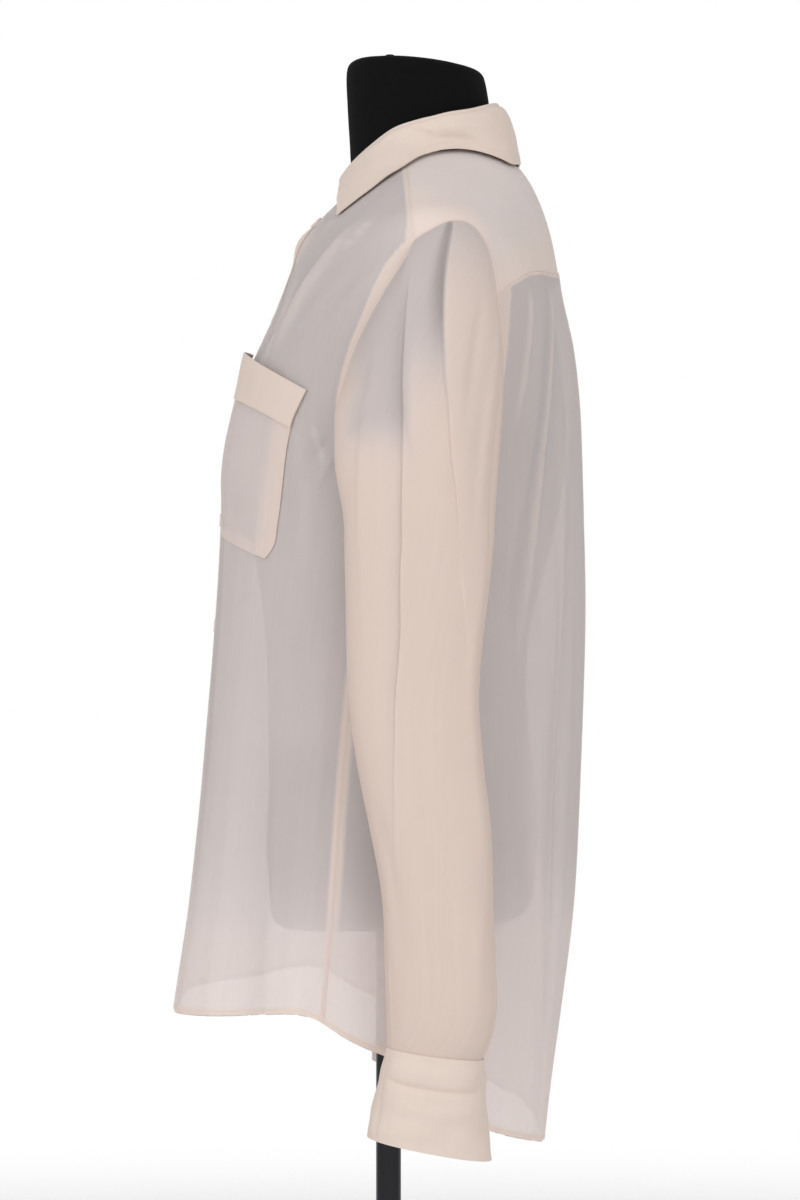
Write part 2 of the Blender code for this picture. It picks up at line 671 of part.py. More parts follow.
# ---- buttons ----
def add_button(name, seat, out, material):
    """A round button with a raised rim, lying on its seat and facing out."""
    profile = [(0.0, 0.0), (0.95, 0.0), (1.0, 0.70), (0.88, 1.0), (0.68, 0.80), (0.0, 0.80)]
    points = [Vector((BUTTON_RADIUS * r, 0, BUTTON_THICKNESS * h)) for r, h in profile[::-1]]
    mesh = bpy.data.meshes.new(name)
    mesh.from_pydata(points, [(i, i + 1) for i in range(len(points) - 1)], [])
    mesh.materials.append(material)
    obj = bpy.data.objects.new(name, mesh)
    COLLECTION.objects.link(obj)
    obj.location = seat + out * LAY_GAP
    obj.rotation_mode = "QUATERNION"
    obj.rotation_quaternion = out.to_track_quat("Z", "Y")
    turned = obj.modifiers.new("turned", "SCREW")
    turned.steps = turned.render_steps = 14
    turned.use_merge_vertices = True
    turned.merge_threshold = 0.00005
    turned.use_smooth_shade = False
    return obj


def front_button_levels():
    """Levels of the front buttons, evenly spaced along the placket."""
    levels, level, walked = [FIRST_BUTTON_LEVEL], FIRST_BUTTON_LEVEL, 0.0
    step = 0.005
    while len(levels) < FRONT_BUTTONS:
        here, there = worn(0, level), worn(0, level + step)
        walked += (there - here).length
        level += step
        if walked >= BUTTON_SPACING:
            levels.append(level)
            walked = 0.0
    return levels


def build_buttons(material):
    for k, level in enumerate(front_button_levels()):
        seat = worn(0, level, LAY_GAP + WALL)
        add_button(f"button_{k + 1}", seat, smooth_normal(0, level), material)
    share = 0.955
    z = (CUFF[0].z + CUFF[-1].z) / 2
    seat = cuff_point(share, z)[0]
    across = cuff_point(share + 0.01, z)[0] - cuff_point(share - 0.01, z)[0]
    down = cuff_point(share, z - 0.003)[0] - cuff_point(share, z + 0.003)[0]
    out = down.cross(across).normalized()
    seat = seat + out * 0.0012
    add_button("cuff_button_left", seat, out, material)
    add_button("cuff_button_right", mirrored(seat), mirrored(out), material)


# ---- dress form and stand ----
def build_form(material):
    count = 32
    rings = [[ring_point(section, 360 * i / count) for i in range(count)] for section in FORM]
    for p in [p for ring in rings for p in ring]:
        p.z -= NECK_TILT * (p.y - 0.02) * smoothstep(1.225, 1.262, p.z)
    points = [p for ring in rings for p in ring]
    faces = [tuple(range(count))]
    for j in range(len(rings) - 1):
        for i in range(count):
            a, b = j * count + i, j * count + (i + 1) % count
            faces.append((a, a + count, b + count, b))
    last = (len(rings) - 1) * count
    faces.append(tuple(last + i for i in reversed(range(count))))
    add_object("dress_form", points, faces, material)


def add_turned(name, profile, material, steps=28):
    """A turned piece about the pole's axis; the profile runs down its outer side, top to bottom."""
    mesh = bpy.data.meshes.new(name)
    mesh.from_pydata([(r, 0, z) for r, z in profile], [(i, i + 1) for i in range(len(profile) - 1)], [])
    mesh.materials.append(material)
    obj = bpy.data.objects.new(name, mesh)
    COLLECTION.objects.link(obj)
    turned = obj.modifiers.new("turned", "SCREW")
    turned.steps = turned.render_steps = steps
    turned.use_merge_vertices = True
    turned.merge_threshold = 0.00005
    turned.use_smooth_shade = True
    return obj


def build_stand(material):
    r, edge = BASE_RADIUS, BASE_EDGE
    hub, hub_top = 0.022, 0.040
    add_turned(
        "stand_base",
        [(0, hub_top), (hub - 0.003, hub_top), (hub, hub_top - 0.003), (hub, 0.020), (hub + 0.010, 0.0155),
         (r * 0.6, 0.0125), (r - 0.003, edge), (r, edge - 0.003), (r, 0.001), (r - 0.001, 0), (0, 0)],
        material,
    )
    bottom, top = hub_top + LAY_GAP, FORM_BOTTOM - LAY_GAP
    bpy.ops.mesh.primitive_cylinder_add(
        vertices=20, radius=POLE_RADIUS, depth=top - bottom, location=(0, 0, (top + bottom) / 2)
    )
    pole = bpy.context.object
    pole.name = pole.data.name = "stand_pole"
    pole.data.shade_smooth()
    pole.data.set_sharp_from_angle(angle=math.radians(40))
    pole.data.materials.append(material)
    for holder in list(pole.users_collection):
        holder.objects.unlink(pole)
    COLLECTION.objects.link(pole)


# ---- the whole part ----
def make_material(name, colour, roughness, metallic=0.0, alpha=1.0):
    material = bpy.data.materials.new(name)
    material.use_nodes = True
    shader = material.node_tree.nodes["Principled BSDF"]
    shader.inputs["Base Color"].default_value = (*colour, 1)
    shader.inputs["Roughness"].default_value = roughness
    shader.inputs["Metallic"].default_value = metallic
    shader.inputs["Alpha"].default_value = alpha
    material.diffuse_color = (*colour, alpha)
    return material


for old in list(bpy.data.objects):
    bpy.data.objects.remove(old)
COLLECTION = bpy.data.collections.new("silk_blouse_on_dress_form")
bpy.context.scene.collection.children.link(COLLECTION)

silk = make_material("silk", (0.72, 0.62, 0.57), 0.55, alpha=0.75)
double_silk = make_material("double_silk", (0.75, 0.62, 0.53), 0.55)
pearl = make_material("pearl", (0.74, 0.64, 0.56), 0.25)
black_jersey = make_material("black_jersey", (0.012, 0.012, 0.014), 0.8)
black_metal = make_material("black_metal", (0.03, 0.03, 0.033), 0.3, metallic=1.0)

build_fronts(silk)
build_back(silk)
build_yoke(double_silk)
build_placket(double_silk)
build_collar(double_silk)
build_pocket(silk, double_silk)
build_sleeves(silk)
build_cuffs(double_silk)
build_buttons(pearl)
build_form(black_jersey)
build_stand(black_metal)

# the cloth hangs on the form, and the form stands on its pole
pieces = list(COLLECTION.objects)
holders = {}
for name in ("blouse", "stand"):
    holders[name] = bpy.data.objects.new(name, None)
    COLLECTION.objects.link(holders[name])
for piece in pieces:
    on_stand = piece.name in ("dress_form", "stand_pole", "stand_base")
    piece.parent = holders["stand" if on_stand else "blouse"]
holders["blouse"].parent = bpy.data.objects["dress_form"]
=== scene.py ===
import json
import math
import bpy
import numpy as np
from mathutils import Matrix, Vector, noise

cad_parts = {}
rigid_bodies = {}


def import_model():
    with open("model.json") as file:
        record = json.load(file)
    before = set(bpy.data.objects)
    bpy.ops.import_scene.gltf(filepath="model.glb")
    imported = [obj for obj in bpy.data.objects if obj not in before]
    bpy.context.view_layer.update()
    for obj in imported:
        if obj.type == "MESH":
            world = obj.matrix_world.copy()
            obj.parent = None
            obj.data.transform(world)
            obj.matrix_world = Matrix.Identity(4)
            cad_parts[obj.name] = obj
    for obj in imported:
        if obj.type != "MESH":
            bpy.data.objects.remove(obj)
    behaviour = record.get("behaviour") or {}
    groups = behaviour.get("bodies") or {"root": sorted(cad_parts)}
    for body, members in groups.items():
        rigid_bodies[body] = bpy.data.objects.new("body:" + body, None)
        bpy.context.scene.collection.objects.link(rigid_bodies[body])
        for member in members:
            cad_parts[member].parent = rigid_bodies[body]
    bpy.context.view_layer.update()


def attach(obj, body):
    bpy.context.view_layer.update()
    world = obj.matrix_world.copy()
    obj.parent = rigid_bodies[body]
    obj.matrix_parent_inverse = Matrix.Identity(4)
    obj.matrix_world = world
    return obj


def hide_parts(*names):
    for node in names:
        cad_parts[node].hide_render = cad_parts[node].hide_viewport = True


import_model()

scene = bpy.context.scene

# The blouse hangs on a dress form. Metres, chest towards -Y, the wearer's left towards +X.
# A place on the worn cloth has an angle (0 centre front, 90 left side, 180 centre back)
# and a level (0 neckline, 6 under the arm, 7 hem).


# Small helpers for curves and blends
def lerp(a, b, f):
    return a + (b - a) * f


def smoothStep(low, high, value):
    f = np.clip((value - low) / (high - low), 0.0, 1.0)
    return f * f * (3 - 2 * f)


def signedPower(value, exponent):
    return np.sign(value) * np.abs(value) ** exponent


def tableCurve(rows):
    # every column of the table as a smooth curve of its first column
    table = np.array(sorted(rows), float)
    keys, columns = table[:, 0], table[:, 1:]
    last = len(keys) - 1
    low = np.maximum(np.arange(last + 1) - 1, 0)
    high = np.minimum(np.arange(last + 1) + 1, last)
    slopes = (columns[high] - columns[low]) / (keys[high] - keys[low])[:, None]

    def at(value):
        value = np.clip(np.asarray(value, float), keys[0], keys[-1])
        i = np.clip(np.searchsorted(keys, value, side="right") - 1, 0, last - 1)
        step = (keys[i + 1] - keys[i])[..., None]
        f = (value - keys[i])[..., None] / step
        f2, f3 = f * f, f * f * f
        rise = 3 * f2 - 2 * f3
        bent = (f3 - 2 * f2 + f) * slopes[i] + (f3 - f2) * slopes[i + 1]
        return (1 - rise) * columns[i] + rise * columns[i + 1] + bent * step

    return at


def hermite(a, b, slopeA, slopeB, f):
    f2, f3 = f * f, f * f * f
    rise = 3 * f2 - 2 * f3
    return (1 - rise) * a + (f3 - 2 * f2 + f) * slopeA + rise * b + (f3 - f2) * slopeB


def bend(a, middle, b, f):
    return 2 * (1 - f) * (0.5 - f) * a + 4 * f * (1 - f) * middle + 2 * f * (f - 0.5) * b


def unit(vectors):
    return vectors / np.maximum(np.linalg.norm(vectors, axis=-1, keepdims=True), 1e-12)


def even(count):
    return np.linspace(0.0, 1.0, count + 1)


def walked(points, axis=0):
    # the length walked along one axis of the points, from 0
    steps = np.cumsum(np.linalg.norm(np.diff(points, axis=axis), axis=-1), axis=axis)
    return np.concatenate([np.zeros_like(steps.take([0], axis=axis)), steps], axis=axis)


def pickAlong(wanted, reach, rows):
    # every column of the rows, read at the wanted reaches
    return np.stack([np.interp(wanted, reach, column) for column in rows.T], axis=-1)


# The camera stands level, to the wearer's left
cameraView = dict(distance=2.9, aimY=0.0087, aimZ=0.859, frameHeight=0.912, sensor=36.0)

lens = bpy.data.cameras.new("studioCamera")
lens.sensor_fit = "AUTO"
lens.sensor_width = cameraView["sensor"]
lens.lens = cameraView["sensor"] * cameraView["distance"] / cameraView["frameHeight"]
lens.clip_end = 50
camera = bpy.data.objects.new("studioCamera", lens)
camera.location = (cameraView["distance"], cameraView["aimY"], cameraView["aimZ"])
camera.rotation_euler = (math.radians(90), 0, math.radians(90))
scene.collection.objects.link(camera)
scene.camera = camera
print("camera placed")

# Cloth thickness and the small gap between layers
cloth = dict(wall=0.0005, lay=0.00025, sharp=50)

# The worn surface: level, half width, front, back, middle, then z at front, side and back, roundness
shoulderRings = [
    (0, 0.0640, -0.0345, 0.0830, 0.022, 1.158, 1.192, 1.204, 1.95),
    (1, 0.1000, -0.0570, 0.1070, 0.026, 1.1395, 1.174, 1.176, 1.80),
    (2, 0.1500, -0.0705, 0.1225, 0.030, 1.114, 1.152, 1.137, 1.85),
    (3, 0.1900, -0.0825, 0.1320, 0.032, 1.083, 1.130, 1.084, 1.95),
    (4, 0.1960, -0.0985, 0.1395, 0.030, 1.050, 1.088, 1.052, 2.05),
    (5, 0.1860, -0.1150, 0.1440, 0.024, 1.010, 1.030, 1.012, 2.10),
    (6, 0.1750, -0.1250, 0.1465, 0.016, 0.965, 0.965, 0.965, 2.18),
    (7, 0.1718, -0.1280, 0.1480, 0.014, 0.920, 0.920, 0.920, 2.22),
]
# z, half width, front, back, middle, roundness
trunkRings = [
    (0.440, 0.1900, -0.1715, 0.1170, -0.002, 2.20),
    (0.500, 0.1900, -0.1680, 0.1240, -0.001, 2.25),
    (0.553, 0.1885, -0.1640, 0.1310, 0.000, 2.30),
    (0.633, 0.1835, -0.1520, 0.1408, 0.001, 2.30),
    (0.710, 0.1785, -0.1440, 0.1452, 0.003, 2.30),
    (0.790, 0.1735, -0.1370, 0.1480, 0.007, 2.30),
    (0.860, 0.1712, -0.1317, 0.1488, 0.011, 2.28),
    (0.920, 0.1718, -0.1280, 0.1480, 0.014, 2.22),
    (0.965, 0.1750, -0.1250, 0.1465, 0.016, 2.18),
    (1.010, 0.1860, -0.1150, 0.1440, 0.024, 2.10),
]
# Cut lines of the blouse: angle with height, or angle with level
cutLines = dict(
    underarmZ=0.965,
    hem=[(0, 0.553), (35, 0.556), (60, 0.562), (73, 0.562), (82, 0.547), (92, 0.531), (106, 0.505),
         (122, 0.481), (150, 0.463), (180, 0.450)],
    sideSeam=[(0.545, 76.8), (0.620, 77.5), (0.780, 78.9), (0.880, 81.2), (0.965, 86.0)],
    armholeFront=[(86.0, 6.00), (78.0, 5.93), (72.4, 5.77), (69.6, 5.50), (69.2, 5.20), (71.1, 4.75),
                  (76.3, 4.20), (81.7, 3.72), (84.2, 3.42)],
    armholeTop=[(84.2, 3.42), (91.0, 3.20), (98.0, 3.02), (105.0, 2.98), (110.4, 3.18), (113.2, 3.55),
                (114.0, 4.17)],
    armholeBack=[(114.0, 4.17), (114.8, 4.65), (114.6, 5.15), (111.4, 5.60), (104.5, 5.87), (95.5, 5.97),
                 (86.0, 6.00)],
    yokeFront=[(79.8, 0.0), (80.0, 1.0), (80.4, 1.7), (80.9, 2.2), (81.5, 2.65), (82.3, 3.0), (83.2, 3.25),
               (84.2, 3.42)],
    yokeBack=[(112.0, 1.0705), (115.0, 1.0752), (121.5, 1.0855), (127.0, 1.0907), (134.0, 1.0960),
              (146.0, 1.0995), (158.0, 1.1015), (180.0, 1.1045)],
)
# Ridges, and troughs with a height below 0. Side 0 is both halves of the cloth, 1 the wearer's left alone,
# -1 the right: side, top z, bottom z, angle at the top, middle and bottom, width, height at the top,
# middle and bottom, how much fuller (or, below 0, thinner) the cloth looks there. Above 0 this is partly
# real folded cloth and partly painted highlight along the ridges; below 0 it is painted shade in the troughs
folds = [
    (0, 1.105, 0.450, 167, 135, 146, 6.5, 0.0015, 0.0060, 0.0055),
    (0, 1.095, 0.860, 142, 131, 119, 4.5, 0.0010, 0.0040, 0.0000),
    (0, 0.960, 0.470, 116, 113, 112, 8.0, 0.0000, -0.0035, -0.0055),
    (0, 1.165, 1.035, 76, 47, 23, 5.5, 0.0006, 0.0030, 0.0008),
    (0, 1.130, 1.030, 80, 60, 43, 4.5, 0.0000, -0.0026, 0.0000),
    (0, 1.060, 0.553, 0, 0, 0, 9.0, 0.0000, -0.0030, -0.0035),
    (0, 0.880, 0.553, 30, 29, 28, 10.0, 0.0000, 0.0030, 0.0065),
    (0, 0.860, 0.553, 49, 50, 52, 8.0, 0.0000, -0.0035, -0.0060),
    (0, 0.840, 0.500, 66, 67, 69, 7.0, 0.0000, 0.0025, 0.0050),
    (0, 1.010, 0.880, 66, 60, 52, 5.0, 0.0000, -0.0040, 0.0000),
    (1, 1.104, 0.800, 148, 134.5, 122.5, 1.2, 0.0006, 0.0022, 0.0004, 0.60),
    (1, 1.085, 0.800, 141, 130, 118, 2.6, 0.0000, -0.0022, 0.0000, -0.16),
    (1, 1.090, 0.975, 133, 128.5, 123, 1.2, 0.0003, 0.0018, 0.0000, 0.55),
    (1, 0.800, 0.480, 131, 133.5, 158, 2.6, 0.0000, 0.0018, 0.0018, 0.26),
    (1, 1.050, 0.560, 148, 142, 144, 1.6, 0.0000, 0.0012, 0.0000, 0.22),
    # painted shade under the sleeve, between it and the side seam
    (1, 0.840, 0.575, 88, 92, 93, 9.0, 0.0000, 0.0000, 0.0000, -0.62),
    (1, 0.986, 0.950, 60, 64, 67, 1.3, 0.0000, 0.0016, 0.0000, 0.30),
    (1, 1.100, 0.700, 129, 125, 121, 2.2, 0.0002, -0.0014, 0.0000),
    (1, 1.000, 0.470, 157, 151, 154, 3.4, 0.0000, 0.0018, 0.0022),
    (1, 1.080, 0.480, 139, 142.5, 153, 2.0, 0.0000, -0.0013, -0.0016),
    (-1, 1.104, 0.880, 152, 144, 139, 1.9, 0.0005, 0.0015, 0.0000),
    (-1, 1.000, 0.470, 160, 156, 158, 3.0, 0.0000, 0.0020, 0.0026),
    (-1, 1.070, 0.520, 140, 137, 150, 2.4, 0.0000, -0.0014, -0.0010),
    (-1, 0.900, 0.480, 127, 124, 122, 3.4, 0.0000, 0.0016, 0.0024),
    (0, 0.900, 0.450, 176, 172, 170, 3.2, 0.0000, -0.0014, -0.0024),
    (1, 1.136, 1.026, 60, 42, 33, 3.4, 0.0004, 0.0020, 0.0004, 0.48),
    (1, 1.128, 1.030, 52, 35, 26, 2.4, 0.0000, -0.0018, 0.0000, -0.14),
    (1, 1.133, 1.108, 66, 61, 55, 1.6, 0.0000, 0.0014, 0.0000, 0.35),
    (1, 1.090, 1.010, 58, 50, 44, 2.6, 0.0000, 0.0008, 0.0000),
    (-1, 1.140, 1.056, 60, 45, 28, 2.2, 0.0004, 0.0016, 0.0004, 0.35),
    (-1, 1.125, 1.025, 72, 57, 40, 2.4, 0.0002, 0.0012, 0.0000),
    (1, 0.990, 0.952, 70, 65, 61, 1.5, 0.0008, -0.0012, 0.0000),
    (1, 0.972, 0.925, 71, 66.5, 62, 1.4, 0.0010, 0.0016, 0.0000),
    (-1, 0.980, 0.935, 70, 65, 60, 1.6, 0.0008, 0.0014, 0.0000),
    (1, 0.890, 0.556, 40, 39, 40, 3.4, 0.0000, 0.0010, 0.0020),
    (-1, 0.900, 0.556, 42, 38, 39, 3.6, 0.0000, 0.0012, 0.0024),
    (1, 0.880, 0.556, 20, 18.5, 17, 3.0, 0.0000, -0.0009, -0.0018),
    (-1, 0.860, 0.556, 19, 20, 18, 3.2, 0.0000, -0.0010, -0.0014),
    (1, 0.820, 0.556, 59, 58.5, 61, 2.6, 0.0000, 0.0009, 0.0016),
    (0, 0.900, 0.520, 73, 72, 73.5, 2.0, 0.0000, 0.0008, 0.0006),
    (0, 1.148, 1.107, 0, 0, 0, 9.0, 0.0000, 0.0046, 0.0000),
    (0, 1.166, 1.139, 0, 0, 0, 9.0, 0.0000, -0.0028, 0.0000),
    (0, 1.156, 1.096, 19, 13, 7, 11.0, 0.0000, 0.0000, 0.0000, 0.85),
    # the next rows mostly only paint light and shade: painted shade beside the sleeve's front edge, painted
    # light lower beside it, a painted darker stretch of the upper front, painted shade over the lower front
    # against the light from the floor, and a lighter fold beside the pocket with painted highlight
    (1, 1.010, 0.770, 65.5, 74.5, 79, 3.4, 0.0000, 0.0000, 0.0000, -0.26),
    (1, 0.840, 0.660, 73, 75.5, 77, 5.0, 0.0000, 0.0000, 0.0000, 0.13),
    (1, 1.140, 0.960, 72, 60, 52, 15.0, 0.0000, 0.0000, 0.0000, -0.13),
    (1, 0.770, 0.598, 70, 68, 66, 18.0, 0.0000, 0.0000, 0.0000, -0.22),
    (1, 0.995, 0.860, 57, 60, 64, 3.0, 0.0000, 0.0008, 0.0000, 0.14),
    (0, 1.085, 1.030, 0, 0, 0, 9.0, 0.0000, -0.0026, 0.0000),
    (0, 1.110, 1.040, 0, 0, 0, 2.4, 0.0000, -0.0018, -0.0018),
]
# Slow unevenness of the whole cloth: its size across and down, and its height
swells = dict(size=(0.045, 0.10), height=0.0009, seed=3.0)

shoulderAt = tableCurve(shoulderRings)
trunkAt = tableCurve(trunkRings)
hemAt = tableCurve(cutLines["hem"])
sideSeamAt = tableCurve(cutLines["sideSeam"])
yokeBackAt = tableCurve(cutLines["yokeBack"])
yokeFrontAt = tableCurve([(level, angle) for angle, level in cutLines["yokeFront"]])
armholeLoop = cutLines["armholeFront"] + cutLines["armholeTop"][1:] + cutLines["armholeBack"][1:]


def ringPoint(section, angle):
    halfWidth, front, back, middle, zFront, zSide, zBack, roundness = np.moveaxis(section, -1, 0)
    s, c = np.sin(np.radians(angle)), np.cos(np.radians(angle))
    power = 2 / roundness
    reach = np.where(c > 0, middle - front, back - middle)
    zEnd = np.where(c > 0, zFront, zBack)
    return np.stack([
        halfWidth * signedPower(s, power),
        middle - reach * signedPower(c, power),
        zSide + (zEnd - zSide) * c * c,
    ], axis=-1)


def foldedBack(angle):
    # angles past 180 run on round the wearer's right
    return np.abs((np.asarray(angle, float) + 180) % 360 - 180)


def sectionAt(angle, level):
    angle, level = np.broadcast_arrays(np.asarray(angle, float), np.asarray(level, float))
    high = shoulderAt(np.minimum(level, 6.0))
    hemZ = hemAt(foldedBack(angle))[..., 0]
    z = lerp(cutLines["underarmZ"], hemZ, level - 6.0)
    trunk = trunkAt(z)
    low = np.concatenate([trunk[..., :4], np.repeat(z[..., None], 3, axis=-1), trunk[..., 4:]], axis=-1)
    return np.where((level > 6.0)[..., None], low, high)


def smoothPoint(angle, level):
    return ringPoint(sectionAt(angle, level), angle)


def smoothNormal(angle, level):
    across = smoothPoint(angle + 0.5, level) - smoothPoint(angle - 0.5, level)
    above, below = np.maximum(level - 0.02, 0.0), np.minimum(level + 0.02, 7.0)
    return unit(np.cross(smoothPoint(angle, below) - smoothPoint(angle, above), across))


def foldsAt(angle, z):
    # how far the folds lift the cloth, and how much fuller it looks in them, which also paints highlight on
    # ridges and shade in troughs
    around = foldedBack(angle)
    side = np.where(np.sin(np.radians(angle)) >= 0, 1, -1)
    lift, fullerAndShaded = np.zeros(np.shape(z)), np.zeros(np.shape(z))
    for onSide, topZ, bottomZ, topAngle, middleAngle, bottomAngle, width, *heights in folds:
        top, middle, bottom, *full = heights
        down = (topZ - z) / (topZ - bottomZ)
        seen = (down >= 0) & ((down <= 1) | (bottom != 0)) & ((side == onSide) | (onSide == 0))
        down = np.clip(down, 0, 1)
        path = bend(topAngle, middleAngle, bottomAngle, down)
        height = np.where(down < 0.5, lerp(top, middle, smoothStep(0, 0.5, down)),
                          lerp(middle, bottom, smoothStep(0.5, 1, down)))
        across = np.where(seen, np.exp(-((around - path) / width) ** 2), 0)
        lift = lift + height * across
        if full:
            fullerAndShaded = fullerAndShaded + full[0] * across * smoothStep(0, 0.2, down) * smoothStep(1, 0.6, down)
    return lift, fullerAndShaded


def rumple(points, size, height, seed):
    # slow uneven swells in the cloth
    shift = Vector((seed, seed * 0.37, -seed))
    flat = points.reshape(-1, 3)
    heights = [noise.noise(Vector((p[0] / size[0], p[1] / size[0], p[2] / size[1])) + shift) for p in flat]
    return np.array(heights).reshape(points.shape[:-1]) * height


def worn(angle, level, lift=0.0):
    angle, level = np.broadcast_arrays(np.asarray(angle, float), np.asarray(level, float))
    point = smoothPoint(angle, level)
    height = foldsAt(angle, point[..., 2])[0] + lift
    height = height + rumple(point, **swells)
    return point + smoothNormal(angle, level) * height[..., None]


def halved(shape, top, isBefore):
    # the places from 0 to the top at which isBefore turns false, by halving
    low, high = np.zeros(shape), np.full(shape, top)
    for _ in range(34):
        middle = (low + high) / 2
        before = isBefore(middle)
        low, high = np.where(before, middle, low), np.where(before, high, middle)
    return (low + high) / 2


def levelAt(angle, z):
    return halved(np.shape(angle), 7.0, lambda level: smoothPoint(angle, level)[..., 2] > z)


def angleAt(x, level):
    x, level = np.broadcast_arrays(np.asarray(x, float), np.asarray(level, float))
    found = halved(x.shape, 80.0, lambda angle: smoothPoint(angle, level)[..., 0] < np.abs(x))
    return np.copysign(found, x)


def placeOf(points, angle):
    # the angle and level of the worn cloth beside these points, from a first guess of the angle
    for _ in range(5):
        level = levelAt(angle, points[..., 2])
        halfWidth, front, back, middle, _, _, _, roundness = np.moveaxis(sectionAt(angle, level), -1, 0)
        reach = np.where(points[..., 1] < middle, middle - front, back - middle)
        s = signedPower(points[..., 0] / halfWidth, roundness / 2)
        c = signedPower((middle - points[..., 1]) / reach, roundness / 2)
        angle = np.degrees(np.arctan2(s, c))
    return angle, levelAt(angle, points[..., 2])


def along(edges, shares):
    # angles and levels at these shares of the way along a cut line
    curve = tableCurve([(i, *edge) for i, edge in enumerate(edges)])
    fine = curve(np.linspace(0, len(edges) - 1, 40 * (len(edges) - 1) + 1))
    reach = walked(worn(fine[:, 0], fine[:, 1]))
    return pickAlong(np.asarray(shares) * reach[-1], reach, fine)


def insetAngle(angle, level, distance):
    ahead = np.linalg.norm(smoothPoint(angle + 1, level) - smoothPoint(angle, level), axis=-1)
    return angle + distance / ahead


def inFromEdge(grid, edge):
    # how far each point lies, along the cloth, from the grid's "left", "right", "top" or "bottom" edge
    axis = 1 if edge in ("left", "right") else 0
    reach = walked(grid, axis)
    return reach if edge in ("left", "top") else reach.take([-1], axis=axis) - reach


def turnedIn(distance, width):
    # 1 and more where the cloth is turned in along an edge, 0 and less past a narrow step
    return 1 + (width - distance) / turnings["step"]


# Cloth as a closed shell: an outer grid, an inner grid and the rims between them
def gridNormals(grid, closedRound):
    if closedRound:
        across = np.roll(grid, -1, axis=1) - np.roll(grid, 1, axis=1)
    else:
        across = np.gradient(grid, axis=1)
    return unit(np.cross(np.gradient(grid, axis=0), across))


def gridUv(grid, closedRound):
    # the cloth's own measure, in metres, along its width and its length
    u, v = walked(grid, 1), walked(grid, 0)
    if not closedRound:
        u = u - u[:, -1:] / 2
    return np.stack([u, -v], axis=-1)


def addObject(name, data):
    obj = bpy.data.objects.new(name, data)
    scene.collection.objects.link(obj)
    return obj


def addMesh(name, points, faces, edges=()):
    mesh = bpy.data.meshes.new(name)
    mesh.from_pydata(np.asarray(points, float).tolist(), edges, faces)
    return addObject(name, mesh)


def finished(obj, finish, sharp=None):
    # smooth, in its material, with the edges sharper than this angle kept
    obj.data.materials.append(materials[finish])
    obj.data.shade_smooth()
    if sharp:
        obj.data.set_sharp_from_angle(angle=math.radians(sharp))
    return obj


def shellFaces(rows, columns, closedRound, turned):
    j, i = np.indices((rows - 1, columns if closedRound else columns - 1))
    a, b = (j * columns + i).ravel(), (j * columns + (i + 1) % columns).ravel()
    outer = np.stack([a, a + columns, b + columns, b], axis=1)
    inner = outer[:, ::-1] + rows * columns
    ring = np.arange(columns + 1) % columns if closedRound else np.arange(columns)
    lastRow = (rows - 1) * columns + ring
    rims = [(ring[:-1], ring[1:]), (lastRow[1:], lastRow[:-1])]
    if not closedRound:
        side = np.arange(rows) * columns
        rims += [(side[1:], side[:-1]), (side[:-1] + columns - 1, side[1:] + columns - 1)]
    walls = [np.stack([p, q, q + rows * columns, p + rows * columns], axis=1) for p, q in rims]
    faces = np.concatenate([outer, inner, *walls])
    return faces[:, ::-1] if turned else faces


worked = {}  # each cloth piece's outer grid, and whether it closes round, by the piece's name


def clothPiece(name, grid, finish, wall=None, closedRound=False, turned=False, layersAndShade=None):
    # the shell of a grid; turned is for a grid whose own normals look inwards
    rows, columns = grid.shape[:2]
    normals = gridNormals(grid, closedRound) * (-1 if turned else 1)
    inner = grid - normals * (wall or cloth["wall"])
    faces = shellFaces(rows, columns, closedRound, turned)
    piece = addMesh(name, np.concatenate([grid.reshape(-1, 3), inner.reshape(-1, 3)]), faces.tolist())
    uv = gridUv(grid, closedRound)
    corners = uv.reshape(-1, 2)[faces % (rows * columns)]
    if closedRound:
        column = faces % columns
        wraps = (column == 0) & (column == columns - 1).any(axis=1)[:, None]
        girth = uv[:, -1, 0] + np.linalg.norm(grid[:, 0] - grid[:, -1], axis=1)
        corners[..., 0] += np.where(wraps, girth[faces % (rows * columns) // columns], 0)
    piece.data.uv_layers.new(name="clothUv").data.foreach_set("uv", corners.astype(np.float32).ravel())
    if layersAndShade is not None:
        spread = np.tile(np.ravel(layersAndShade), 2).astype(np.float32)
        piece.data.attributes.new("layersAndShade", "FLOAT", "POINT").data.foreach_set("value", spread)
    worked[name] = dict(grid=grid, closedRound=closedRound)
    return finished(piece, finish, cloth["sharp"])


def flipped(grid):
    return grid * np.array([-1.0, 1.0, 1.0])


def wholeFromHalf(half):
    # the half ends on the centre line, where its other half begins
    return np.concatenate([half, flipped(half[:, -2::-1])], axis=1)


sides = dict(left=1, right=-1)


# Materials
def fromScreen(red, green, blue):
    return tuple(((v / 255 + 0.055) / 1.055) ** 2.4 for v in (red, green, blue))


def newGroup(name, inputs, outputs):
    group = bpy.data.node_groups.new(name, "ShaderNodeTree")
    for label, kind, value in inputs:
        socket = group.interface.new_socket(label, in_out="INPUT", socket_type="NodeSocket" + kind)
        if value is not None:
            socket.default_value = value
    for label, kind in outputs:
        group.interface.new_socket(label, in_out="OUTPUT", socket_type="NodeSocket" + kind)
    return group, group.nodes.new("NodeGroupInput"), group.nodes.new("NodeGroupOutput")


def node(tree, kind, inputs=None, **settings):
    # a node with its settings and its inputs: each a value, or a socket to link from
    made = tree.nodes.new(kind)
    for key, value in settings.items():
        setattr(made, key, value)
    for key, value in (inputs or {}).items():
        if isinstance(value, bpy.types.NodeSocket):
            tree.links.new(value, made.inputs[key])
        else:
            made.inputs[key].default_value = value
    return made


def mathNode(tree, operation, *values):
    return node(tree, "ShaderNodeMath", dict(enumerate(values)), operation=operation).outputs[0]


